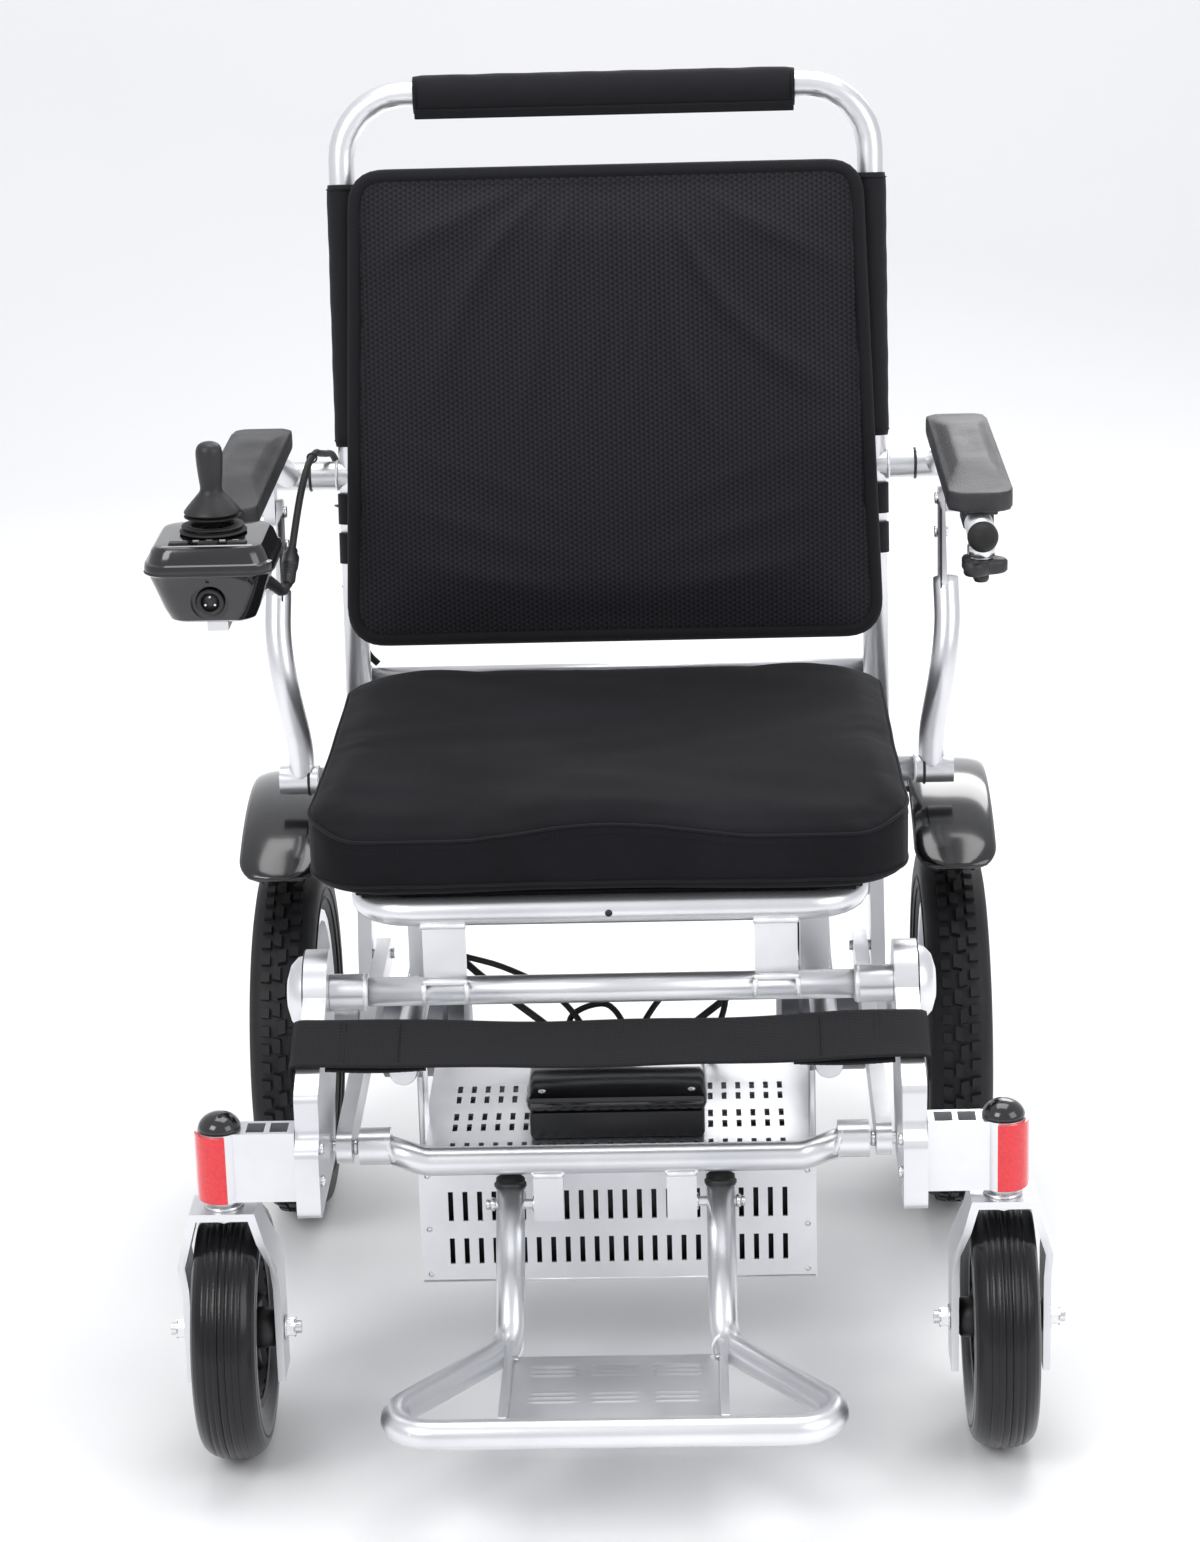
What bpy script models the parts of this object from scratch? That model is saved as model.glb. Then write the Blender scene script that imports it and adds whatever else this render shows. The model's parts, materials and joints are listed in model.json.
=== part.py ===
"""Folding power wheelchair, as separate named sub-parts.

Metres. +X is the right-hand side seen from the front, +Y is to the rear, +Z is up. Pieces are placed
in the wheelchair's own plan, where Y is 0 at the rear axle and Z is 0 on the floor, under one empty
that moves the plan to the origin below the middle of the whole chair.
"""

import math

import bmesh
import bpy
from mathutils import Matrix, Vector

# ---------------------------------------------------------------- driving dimensions

GAP = 0.0003                # between pieces that touch
RUN = 0.0004                # radial clearance round a pin
TUBE_R = 0.011              # frame tubes, 22 mm
PIN_R = 0.005

REAR_WHEEL_R = 0.159        # 12.5 inch rear wheel
REAR_WHEEL_W = 0.057
REAR_WHEEL_X = 0.2865
RIM_R = 0.108
RIM_W = 0.044
REAR_SHAFT_R = 0.0085

CASTER_R = 0.100            # 8 inch caster
CASTER_W = 0.052
CASTER_X = 0.292
CASTER_AXLE_Y = -0.468
CASTER_STEM_Y = -0.495
CASTER_HUB_R = 0.062

# fold linkage, (Y, Z) of each pivot
FRONT_PIVOT = (-0.370, 0.336)       # seat frame to side plates
REAR_PIVOT = (0.035, 0.345)         # seat frame to rear frame
LINK_DROP = (-0.040, -0.112)        # from each seat pivot down to its link pivot
LINK_FRONT = (FRONT_PIVOT[0] + LINK_DROP[0], FRONT_PIVOT[1] + LINK_DROP[1])
LINK_REAR = (REAR_PIVOT[0] + LINK_DROP[0], REAR_PIVOT[1] + LINK_DROP[1])

SEAT_RAIL_X = 0.1895
SEAT_RAIL_Z = 0.401
SEAT_REAR_Y = 0.104
SEAT_CORNER_R = 0.040
POST_PIVOT = (-0.030, SEAT_RAIL_Z)  # arm post to seat frame

BACK_X = 0.228
BACK_LOW = (0.095, 0.462)           # two points on the reclined line of the uprights
BACK_HIGH = (0.163, 0.900)
BACK_END_Z = 0.390
HANDLE_Z = 0.955
HANDLE_CORNER_R = 0.055
BACK_PIVOT_Z = 0.405
ARM_PIVOT_Z = 0.632

CUSHION_W = 0.460
CUSHION_FRONT_Y = -0.385
CUSHION_REAR_Y = 0.052
CUSHION_TOP_Z = 0.485
SLING_T = 0.003
SLING_LIFT = 0.0008         # the sling clears the bends of the seat tube

BACK_CUSHION_T = 0.025
BACK_CUSHION_BOTTOM_Z = 0.485
BACK_CUSHION_TOP_Z = 0.892
BACK_CUSHION_BOTTOM_W = 0.464
BACK_CUSHION_TOP_W = 0.436

PLATE_IN_X = 0.217                  # inner face of the side plates and of the rear plates
PLATE_T = 0.018
REAR_PLATE_T = 0.012
LINK_IN_X = 0.2015
LINK_T = 0.012
LUG_IN_X = 0.1955
LUG_OUT_X = 0.2155

TRAY_HALF_W = 0.157
TRAY_FRONT_Y = -0.353
TRAY_REAR_Y = -0.105
TRAY_BOTTOM_Z = 0.081
TRAY_TOP_Z = 0.180
TRAY_T = 0.003
SLOT_COUNT = 24
SLOT_PITCH = 0.0115
SLOT_W = 0.0038
SLOT_ROWS = ((0.097, 0.022), (0.134, 0.025))    # lower end and height of each row

RAIL_X = 0.170
RAIL_Z = 0.240
RAIL_FRONT_Y = -0.300

CROSSBAR_Z = 0.2105
CROSSBAR_HALF = 0.146
FOOT_TUBE_X = 0.0815
FOOT_PIVOT_DROP = 0.037
FOOT_BEND = (-0.478, 0.0845)
FOOT_BAR = (-0.627, 0.089)
FOOT_BAR_CORNER_X = 0.190
FOOT_TUBE_TOP = 0.012

ARM_X = 0.292
ARM_TUBE_Z = 0.6645
PAD_W = 0.052
PAD_T = 0.028
PAD_Z = ARM_TUBE_Z + TUBE_R + 0.0015
PAD_FRONT_Y = -0.265
PAD_REAR_Y = 0.030

STICK_X = -0.294
STICK_Y = -0.319
STICK_KNOB_Y = -0.313
STICK_BOTTOM_Z = 0.629
STICK_LIP_Z = 0.674
STICK_TOP_Z = 0.690
STICK_PIVOT_Z = 0.665
STICK_HALF = 0.049
BUTTON_Y = -0.3495
BUTTON_TRAVEL = 0.001

SIDES = (("left", -1), ("right", 1))


def back_y(z):
    """Y of the uprights' centre line at height z."""
    slope = (BACK_HIGH[0] - BACK_LOW[0]) / (BACK_HIGH[1] - BACK_LOW[1])
    return BACK_LOW[0] + (z - BACK_LOW[1]) * slope


RECLINE = math.atan2(BACK_HIGH[0] - BACK_LOW[0], BACK_HIGH[1] - BACK_LOW[1])
BACK_PIVOT = (back_y(BACK_PIVOT_Z), BACK_PIVOT_Z)
ARM_PIVOT = (back_y(ARM_PIVOT_Z), ARM_PIVOT_Z)
ARM_LUG = (
    POST_PIVOT[0] + ARM_PIVOT[0] - BACK_PIVOT[0],
    POST_PIVOT[1] + ARM_PIVOT[1] - BACK_PIVOT[1],
)
FOOT_PIVOT = (LINK_FRONT[0], CROSSBAR_Z - FOOT_PIVOT_DROP)
HANDLE_HALF_DEPTH = 0.016
ORIGIN_Y = (FOOT_BAR[0] - TUBE_R + back_y(HANDLE_Z) + HANDLE_HALF_DEPTH) / 2


# ---------------------------------------------------------------- scene, materials, helpers

for old in list(bpy.data.objects):
    bpy.data.objects.remove(old, do_unlink=True)

parts = bpy.data.collections.new("power_wheelchair")
bpy.context.scene.collection.children.link(parts)
tools = bpy.data.collections.new("cutters")
bpy.context.scene.collection.children.link(tools)

plan = bpy.data.objects.new("wheelchair_plan", None)
plan.location = (0, -ORIGIN_Y, 0)
parts.objects.link(plan)


def make_material(name, colour, roughness, metallic=0.0):
    material = bpy.data.materials.new(name)
    material.use_nodes = True
    shader = material.node_tree.nodes["Principled BSDF"]
    shader.inputs["Base Color"].default_value = (*colour, 1)
    shader.inputs["Roughness"].default_value = roughness
    shader.inputs["Metallic"].default_value = metallic
    return material


SILVER = make_material("silver_aluminium", (0.74, 0.75, 0.77), 0.32, 1.0)
STEEL = make_material("bright_steel", (0.80, 0.80, 0.81), 0.22, 1.0)
GREY_METAL = make_material("motor_grey", (0.35, 0.36, 0.38), 0.45, 0.8)
FABRIC = make_material("black_fabric", (0.018, 0.018, 0.022), 0.85)
WEBBING = make_material("black_webbing", (0.022, 0.022, 0.024), 0.80)
GLOSS = make_material("gloss_black", (0.012, 0.012, 0.013), 0.12)
MATTE = make_material("matte_black", (0.030, 0.030, 0.032), 0.50)
PAD_SKIN = make_material("pad_skin", (0.045, 0.045, 0.048), 0.60)
RUBBER = make_material("rubber", (0.020, 0.020, 0.020), 0.70)
TYRE = make_material("tyre_rubber", (0.016, 0.016, 0.017), 0.55)
RED = make_material("red_reflector", (0.75, 0.02, 0.03), 0.20)


def finish(obj, material, smooth=True):
    """Names nothing and moves nothing: gives the piece its material, shading and parent."""
    obj.data.materials.clear()
    obj.data.materials.append(material)
    if smooth and obj.type == "MESH":
        obj.data.shade_smooth()
        obj.data.set_sharp_from_angle(angle=math.radians(35))
    obj.parent = plan
    return obj


def mesh_object(name, bm, material=SILVER):
    mesh = bpy.data.meshes.new(name)
    bmesh.ops.recalc_face_normals(bm, faces=bm.faces)
    bm.to_mesh(mesh)
    bm.free()
    obj = bpy.data.objects.new(name, mesh)
    parts.objects.link(obj)
    return finish(obj, material)


def as_tool(obj):
    """Turns a finished piece into a hidden helper for a Boolean."""
    parts.objects.unlink(obj)
    tools.objects.link(obj)
    obj.hide_render = True
    obj.display_type = "WIRE"
    return obj


def combine(obj, other, operation):
    modifier = obj.modifiers.new(f"{operation.lower()}_{other.name}", "BOOLEAN")
    modifier.operation = operation
    modifier.solver = "EXACT"
    modifier.object = as_tool(other)
    return obj


def union(obj, *others):
    for other in others:
        combine(obj, other, "UNION")
    return obj


def cut(obj, *others):
    for other in others:
        combine(obj, other, "DIFFERENCE")
    return obj


def box(name, low, high, material=SILVER, bevel=0.0, segments=2):
    """A box from its lowest to its highest corner."""
    bm = bmesh.new()
    bmesh.ops.create_cube(bm, size=1)
    low = Vector(low)
    high = Vector(high)
    bmesh.ops.scale(bm, vec=high - low, verts=bm.verts)
    bmesh.ops.translate(bm, vec=(low + high) / 2, verts=bm.verts)
    obj = mesh_object(name, bm, material)
    if bevel:
        modifier = obj.modifiers.new("rounded_edges", "BEVEL")
        modifier.width = bevel
        modifier.segments = segments
    return obj


def side_box(name, side, x_range, y_range, z_range, material=SILVER, bevel=0.0):
    """A box on one side of the chair: x_range is measured outwards from the middle."""
    x_low, x_high = sorted((side * x_range[0], side * x_range[1]))
    low = (x_low, y_range[0], z_range[0])
    high = (x_high, y_range[1], z_range[1])
    return box(name, low, high, material, bevel)


def rod(name, start, end, radius, material=SILVER, sides=16, end_radius=None):
    """A straight round bar, or a cone when end_radius is given."""
    start = Vector(start)
    end = Vector(end)
    along = end - start
    bm = bmesh.new()
    bmesh.ops.create_cone(
        bm,
        cap_ends=True,
        segments=sides,
        radius1=radius,
        radius2=radius if end_radius is None else end_radius,
        depth=along.length,
    )
    turn = along.to_track_quat("Z", "Y").to_matrix().to_4x4()
    bmesh.ops.transform(bm, matrix=Matrix.Translation((start + end) / 2) @ turn, verts=bm.verts)
    return mesh_object(name, bm, material)


def cross_rod(name, x_from, x_to, place, radius, material=SILVER, sides=12):
    """A round bar along X at the given (Y, Z)."""
    return rod(name, (x_from, *place), (x_to, *place), radius, material, sides)


def rounded_path(points, radius, step=math.radians(26), closed=False):
    """The points with an arc of the given radius at each corner between two straight runs."""
    points = [Vector(point) for point in points]
    count = len(points)
    path = []
    for index, corner in enumerate(points):
        if not closed and index in (0, count - 1):
            path.append(corner)
            continue
        before = points[index - 1] - corner
        after = points[(index + 1) % count] - corner
        inner = before.angle(after)
        turn = math.pi - inner
        if turn < 0.02 or radius <= 0:
            path.append(corner)
            continue
        reach = min(radius * math.tan(turn / 2), before.length * 0.49, after.length * 0.49)
        bend = reach / math.tan(turn / 2)
        middle = (before.normalized() + after.normalized()).normalized()
        centre = corner + middle * (bend / math.sin(inner / 2))
        first = corner + before.normalized() * reach - centre
        axis = first.cross(corner + after.normalized() * reach - centre)
        steps = max(2, math.ceil(turn / step))
        for number in range(steps + 1):
            path.append(centre + Matrix.Rotation(turn * number / steps, 3, axis) @ first)
    return path


def solid_from_curve(obj, name, material):
    """The curve's evaluated mesh, its loose caps welded, in place of the curve."""
    parts.objects.link(obj)
    bpy.context.view_layer.update()
    graph = bpy.context.evaluated_depsgraph_get()
    mesh = bpy.data.meshes.new_from_object(obj.evaluated_get(graph))
    bm = bmesh.new()
    bm.from_mesh(mesh)
    bmesh.ops.remove_doubles(bm, verts=bm.verts, dist=0.00001)
    bmesh.ops.recalc_face_normals(bm, faces=bm.faces)
    bm.to_mesh(mesh)
    bm.free()
    solid = bpy.data.objects.new(name, mesh)
    parts.objects.link(solid)
    solid.matrix_world = obj.matrix_world
    curve = obj.data
    bpy.data.objects.remove(obj, do_unlink=True)
    bpy.data.curves.remove(curve)
    solid.name = name
    return finish(solid, material)


def pipe(name, path, radius, material=SILVER, resolution=3):
    """A round tube or cable along the path."""
    curve = bpy.data.curves.new(name, "CURVE")
    curve.dimensions = "3D"
    curve.bevel_depth = radius
    curve.bevel_resolution = resolution
    curve.use_fill_caps = True
    spline = curve.splines.new("POLY")
    spline.points.add(len(path) - 1)
    for point, place in zip(spline.points, path):
        point.co = (*place, 1)
    return solid_from_curve(bpy.data.objects.new(name, curve), name, material)


FACING = {
    "X": Matrix(((0, 0, 1), (1, 0, 0), (0, 1, 0))).to_4x4(),
    "Y": Matrix(((1, 0, 0), (0, 0, -1), (0, 1, 0))).to_4x4(),
    "Z": Matrix.Identity(4),
}


def plate(name, outline, low, high, facing="X", material=SILVER):
    """A flat outline in the plane across the facing axis, solid from low to high along it."""
    curve = bpy.data.curves.new(name, "CURVE")
    curve.dimensions = "2D"
    curve.fill_mode = "BOTH"
    curve.extrude = abs(high - low) / 2
    spline = curve.splines.new("POLY")
    spline.points.add(len(outline) - 1)
    for point, place in zip(spline.points, outline):
        point.co = (place[0], place[1], 0, 1)
    spline.use_cyclic_u = True
    obj = bpy.data.objects.new(name, curve)
    middle = {"X": (1, 0, 0), "Y": (0, 1, 0), "Z": (0, 0, 1)}[facing]
    obj.matrix_world = Matrix.Translation(Vector(middle) * (low + high) / 2) @ FACING[facing]
    return solid_from_curve(obj, name, material)


def side_plate(name, side, outline, x_range, material=SILVER):
    """A plate standing fore and aft, between two distances from the middle."""
    return plate(name, outline, side * x_range[0], side * x_range[1], "X", material)


def rounded_outline(points, radius):
    return rounded_path([(*point, 0) for point in points], radius, closed=True)


def hull_outline(circles, steps=20):
    """The tight outline round circles, each (u, v, radius)."""
    cloud = []
    for u, v, radius in circles:
        for number in range(steps):
            angle = 2 * math.pi * number / steps
            cloud.append((u + radius * math.cos(angle), v + radius * math.sin(angle)))
    cloud.sort()
    outline = []
    for ordered in (cloud, cloud[::-1]):
        chain = []
        for point in ordered:
            while len(chain) > 1:
                (au, av), (bu, bv) = chain[-2], chain[-1]
                if (bu - au) * (point[1] - av) - (bv - av) * (point[0] - au) > 1e-10:
                    break
                chain.pop()
            chain.append(point)
        outline += chain[:-1]
    return outline


def turned(name, profile, centre, axis="X", material=SILVER, steps=32):
    """A profile of (radius, height) turned round the axis, heights measured along it from the
    centre. The profile runs down the outer side and up the bore, or starts and ends on the axis."""
    mesh = bpy.data.meshes.new(name)
    bm = bmesh.new()
    points = [bm.verts.new((radius, 0, height)) for radius, height in profile]
    for first, second in zip(points, points[1:]):
        bm.edges.new((first, second))
    if profile[0][0] > 0:
        bm.edges.new((points[-1], points[0]))
    bm.to_mesh(mesh)
    bm.free()
    obj = bpy.data.objects.new(name, mesh)
    parts.objects.link(obj)
    modifier = obj.modifiers.new("turn", "SCREW")
    modifier.axis = "Z"
    modifier.steps = steps
    modifier.render_steps = steps
    modifier.use_merge_vertices = True
    modifier.merge_threshold = 0.00001
    modifier.use_smooth_shade = True
    obj.location = centre
    obj.rotation_euler = {"X": (0, math.pi / 2, 0), "-X": (0, -math.pi / 2, 0), "Z": (0, 0, 0)}[axis]
    return finish(obj, material)


def outward(side):
    return "X" if side > 0 else "-X"


def tilted(obj, angle, place):
    """Turns a finished piece about the X direction through a (Y, Z) place."""
    centre = Matrix.Translation((0, *place))
    turn = centre @ Matrix.Rotation(angle, 4, "X") @ centre.inverted()
    obj.data.transform(turn)
    return obj


def loft(name, sections, material):
    """A closed solid through sections of equally many points, flat at both ends."""
    bm = bmesh.new()
    rings = [[bm.verts.new(point) for point in section] for section in sections]
    count = len(rings[0])
    for lower, upper in zip(rings, rings[1:]):
        for index in range(count):
            following = (index + 1) % count
            bm.faces.new((lower[index], lower[following], upper[following], upper[index]))
    bm.faces.new(rings[0][::-1])
    bm.faces.new(rings[-1])
    return mesh_object(name, bm, material)


def rounded_rectangle(centre, half_u, half_v, radius, steps=3):
    """Points round a rectangle with round corners."""
    points = []
    for quarter, (sign_u, sign_v) in enumerate(((1, 1), (-1, 1), (-1, -1), (1, -1))):
        for number in range(steps + 1):
            angle = (quarter + number / steps) * math.pi / 2
            u = centre[0] + sign_u * (half_u - radius) + radius * math.cos(angle)
            v = centre[1] + sign_v * (half_v - radius) + radius * math.sin(angle)
            points.append((u, v))
    return points


def smooth_path(points, steps):
    """Points on a smooth curve through the route's own points."""
    points = [Vector(point) for point in points]
    ends = [2 * points[0] - points[1], *points, 2 * points[-1] - points[-2]]
    path = []
    for index in range(len(points) - 1):
        p0, p1, p2, p3 = ends[index : index + 4]
        for number in range(steps):
            t = number / steps
            path.append(
                0.5 * (2 * p1 + (p2 - p0) * t + (2 * p0 - 5 * p1 + 4 * p2 - p3) * t * t
                       + (3 * p1 - p0 - 3 * p2 + p3) * t ** 3)
            )
    path.append(points[-1])
    return path


# ---------------------------------------------------------------- rear frame, motors, fenders

def rear_frame():
    frame = pipe("rear_frame", rounded_path([
        (-RAIL_X, RAIL_FRONT_Y, RAIL_Z), (-RAIL_X, -0.045, RAIL_Z),
        (-RAIL_X, 0.020, 0.285)], 0.03), TUBE_R)
    union(frame, pipe("rail_right", rounded_path([
        (RAIL_X, RAIL_FRONT_Y, RAIL_Z), (RAIL_X, -0.045, RAIL_Z),
        (RAIL_X, 0.020, 0.285)], 0.03), TUBE_R))
    reach = PLATE_IN_X + 0.004
    union(frame, cross_rod("rear_cross_tube", -reach, reach, (0.020, 0.285), TUBE_R))
    union(frame, cross_rod("rail_cross_tube", -RAIL_X, RAIL_X, (-0.220, RAIL_Z), 0.009, sides=12))
    outline = hull_outline([(*REAR_PIVOT, 0.018), (0, REAR_WHEEL_R, 0.035), (*LINK_REAR, 0.016)])
    for name, side in SIDES:
        inner = side * (PLATE_IN_X + 0.001)
        union(
            frame,
            side_plate(f"rear_plate_{name}", side, outline, (PLATE_IN_X, PLATE_IN_X + REAR_PLATE_T)),
            cross_rod(f"rear_pin_{name}", side * (LUG_IN_X - 0.003), inner, REAR_PIVOT, PIN_R, sides=12),
            cross_rod(f"link_pin_{name}", side * (LINK_IN_X - 0.003), inner, LINK_REAR, PIN_R, sides=12),
            side_box(f"seat_rest_{name}", side, (0.153, 0.177), (-0.112, -0.088), (0.238, 0.386)),
        )
        cut(frame, cross_rod(f"shaft_hole_{name}", side * 0.21, side * 0.24, (0, REAR_WHEEL_R),
                             REAR_SHAFT_R + RUN))


def motor(name, side):
    turned(f"motor_{name}", [
        (0, 0.082), (0.030, 0.082), (0.042, 0.076), (0.042, 0.022), (0.036, 0.018),
        (0.036, 0.004), (0.030, 0), (0, 0)], (side * (PLATE_IN_X - GAP - 0.082), 0, REAR_WHEEL_R),
        outward(side), GREY_METAL, 24)


def fender(name, side):
    centre = (0.030, 0.135)
    radius = 0.245
    thickness = 0.004
    reach = 0.60
    steps = 12
    arc = [math.pi / 2 - reach + 2 * reach * number / steps for number in range(steps + 1)]
    outer = [(centre[0] + radius * math.cos(a), centre[1] + radius * math.sin(a)) for a in arc]
    inner = [(centre[0] + (radius - thickness) * math.cos(a),
              centre[1] + (radius - thickness) * math.sin(a)) for a in arc]
    shell = side_plate(f"fender_{name}", side, outer + inner[::-1], (0.250, 0.320), GLOSS)
    low, high = sorted((side * 0.250, side * 0.320))
    corners = rounded_outline([(low, -0.115), (high, -0.115), (high, 0.175), (low, 0.175)], 0.03)
    combine(shell, plate(f"fender_shape_{name}", corners, 0.30, 0.42, "Z"), "INTERSECT")
    plate_face = PLATE_IN_X + REAR_PLATE_T + GAP
    union(
        shell,
        side_box(f"fender_foot_{name}", side, (plate_face, plate_face + 0.005), (0.000, 0.046),
                 (0.325, 0.377), MATTE),
        side_box(f"fender_arm_{name}", side, (plate_face, 0.262), (0.000, 0.046), (0.368, 0.3755), MATTE),
    )


def rear_wheel(name, side):
    centre = (side * REAR_WHEEL_X, 0, REAR_WHEEL_R)
    half = REAR_WHEEL_W / 2
    bore = RIM_R + GAP
    turned(f"rear_tyre_{name}", [
        (bore, RIM_W / 2 - 0.002), (RIM_R + 0.018, half - 0.004), (RIM_R + 0.034, half),
        (REAR_WHEEL_R - 0.006, half - 0.006), (REAR_WHEEL_R, half - 0.014),
        (REAR_WHEEL_R, 0.014 - half), (REAR_WHEEL_R - 0.006, 0.006 - half),
        (RIM_R + 0.034, -half), (RIM_R + 0.018, 0.004 - half), (bore, 0.002 - RIM_W / 2)],
        centre, "X", TYRE, 24)
    hub_in = REAR_WHEEL_X - (PLATE_IN_X + REAR_PLATE_T + 0.003)
    shaft_in = REAR_WHEEL_X - (PLATE_IN_X + GAP)
    rim = turned(f"rear_rim_{name}", [
        (0, 0.034), (0.016, 0.034), (0.030, 0.026), (0.030, 0.012), (0.094, 0.012),
        (0.098, RIM_W / 2), (RIM_R, RIM_W / 2), (RIM_R, -RIM_W / 2), (0.098, -RIM_W / 2),
        (0.094, 0.000), (0.034, 0.000), (0.030, -hub_in), (REAR_SHAFT_R, -hub_in),
        (REAR_SHAFT_R, -shaft_in), (0, -shaft_in)], centre, outward(side), SILVER, 24)
    for number in range(5):
        angle = 2 * math.pi * number / 5
        place = (0.064 * math.cos(angle), REAR_WHEEL_R + 0.064 * math.sin(angle))
        cut(rim, cross_rod(f"rim_hole_{name}_{number}", side * 0.24, side * 0.33, place, 0.019, sides=12))


# ---------------------------------------------------------------- tray, battery, controller

def battery_tray():
    low = (-TRAY_HALF_W, TRAY_FRONT_Y, TRAY_BOTTOM_Z)
    tray = box("battery_tray", low, (TRAY_HALF_W, TRAY_REAR_Y, TRAY_TOP_Z))
    inside_low = (-TRAY_HALF_W + TRAY_T, TRAY_FRONT_Y + TRAY_T, TRAY_BOTTOM_Z + TRAY_T)
    inside_high = (TRAY_HALF_W - TRAY_T, TRAY_REAR_Y + 0.01, TRAY_TOP_Z - TRAY_T)
    cut(tray, box("tray_inside", inside_low, inside_high))
    for name, side in SIDES:
        top = RAIL_Z - 0.002
        edge = RAIL_X - TUBE_R - GAP
        union(tray, side_box(f"tray_strap_{name}", side, (edge - 0.005, edge), (-0.305, -0.255),
                             (TRAY_TOP_Z - 0.02, top)))
    for row, (bottom, height) in enumerate(SLOT_ROWS):
        bm = bmesh.new()
        for number in range(SLOT_COUNT):
            x = (number - (SLOT_COUNT - 1) / 2) * SLOT_PITCH
            made = bmesh.ops.create_cube(bm, size=1)["verts"]
            bmesh.ops.scale(bm, vec=(SLOT_W, 0.02, height), verts=made)
            bmesh.ops.translate(bm, vec=(x, TRAY_FRONT_Y - 0.005, bottom + height / 2), verts=made)
        cut(tray, mesh_object(f"slot_row_{row}", bm))


def battery_and_controller():
    clear = TRAY_T + 0.004
    low = (-TRAY_HALF_W + clear + 0.004, TRAY_FRONT_Y + 0.012, TRAY_BOTTOM_Z + TRAY_T + GAP)
    box("battery_pack", low, (TRAY_HALF_W - clear - 0.004, TRAY_REAR_Y - 0.006, 0.168), MATTE, 0.004)
    seam = 0.204
    box("controller_box", (-0.070, -0.302, TRAY_TOP_Z + GAP), (0.070, -0.144, seam), MATTE, 0.004)
    box("controller_lid", (-0.072, -0.304, seam + GAP), (0.072, -0.142, 0.218), GLOSS, 0.005)


# ---------------------------------------------------------------- seat

def seat_frame():
    x = SEAT_RAIL_X
    frame = pipe("seat_frame", rounded_path([
        (-x, SEAT_REAR_Y, SEAT_RAIL_Z), (-x, FRONT_PIVOT[0], SEAT_RAIL_Z),
        (x, FRONT_PIVOT[0], SEAT_RAIL_Z), (x, SEAT_REAR_Y, SEAT_RAIL_Z)], SEAT_CORNER_R), TUBE_R)
    reach = PLATE_IN_X - GAP
    union(frame, cross_rod("pivot_tube", -reach, reach, FRONT_PIVOT, TUBE_R))
    union(frame, cross_rod("post_cross_tube", -0.2535, 0.2535, POST_PIVOT, TUBE_R - 0.0007, sides=14))
    lug = hull_outline([(*REAR_PIVOT, 0.018), (*BACK_PIVOT, 0.015), (0.02, SEAT_RAIL_Z, 0.008)])
    for name, side in SIDES:
        union(
            frame,
            cross_rod(f"weld_ring_{name}", side * 0.190, side * reach, FRONT_PIVOT, 0.0145),
            cross_rod(f"front_pin_{name}", side * 0.21, side * (PLATE_IN_X + PLATE_T), FRONT_PIVOT, 0.008),
            cross_rod(f"post_pin_{name}", side * 0.25, side * 0.2795, POST_PIVOT, 0.008),
            side_box(f"front_bracket_{name}", side, (0.111, 0.144), (-0.374, -0.366), (0.336, SEAT_RAIL_Z)),
            side_plate(f"rear_lug_{name}", side, lug, (LUG_IN_X, LUG_OUT_X)),
            cross_rod(f"back_pin_{name}", side * 0.21, side * (BACK_X + TUBE_R), BACK_PIVOT, PIN_R, sides=12),
        )
        cut(frame, cross_rod(f"lug_hole_{name}", side * 0.19, side * 0.22, REAR_PIVOT, PIN_R + RUN, sides=12))


def seat_soft_pieces():
    bottom = SEAT_RAIL_Z + TUBE_R + SLING_LIFT
    half = LUG_IN_X - GAP
    box("seat_sling", (-half, FRONT_PIVOT[0] + 0.004, bottom), (half, 0.045, bottom + SLING_T), FABRIC)
    low = (-CUSHION_W / 2, CUSHION_FRONT_Y, bottom + SLING_T + GAP)
    outline = rounded_outline([
        (low[0], low[1]), (-low[0], low[1]), (-low[0], CUSHION_REAR_Y), (low[0], CUSHION_REAR_Y)], 0.04)
    cushion = plate("seat_cushion", outline, low[2], CUSHION_TOP_Z, "Z", FABRIC)
    modifier = cushion.modifiers.new("rounded_edges", "BEVEL")
    modifier.width = 0.010
    modifier.segments = 2
    modifier.limit_method = "ANGLE"


# ---------------------------------------------------------------- front frame

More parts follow.
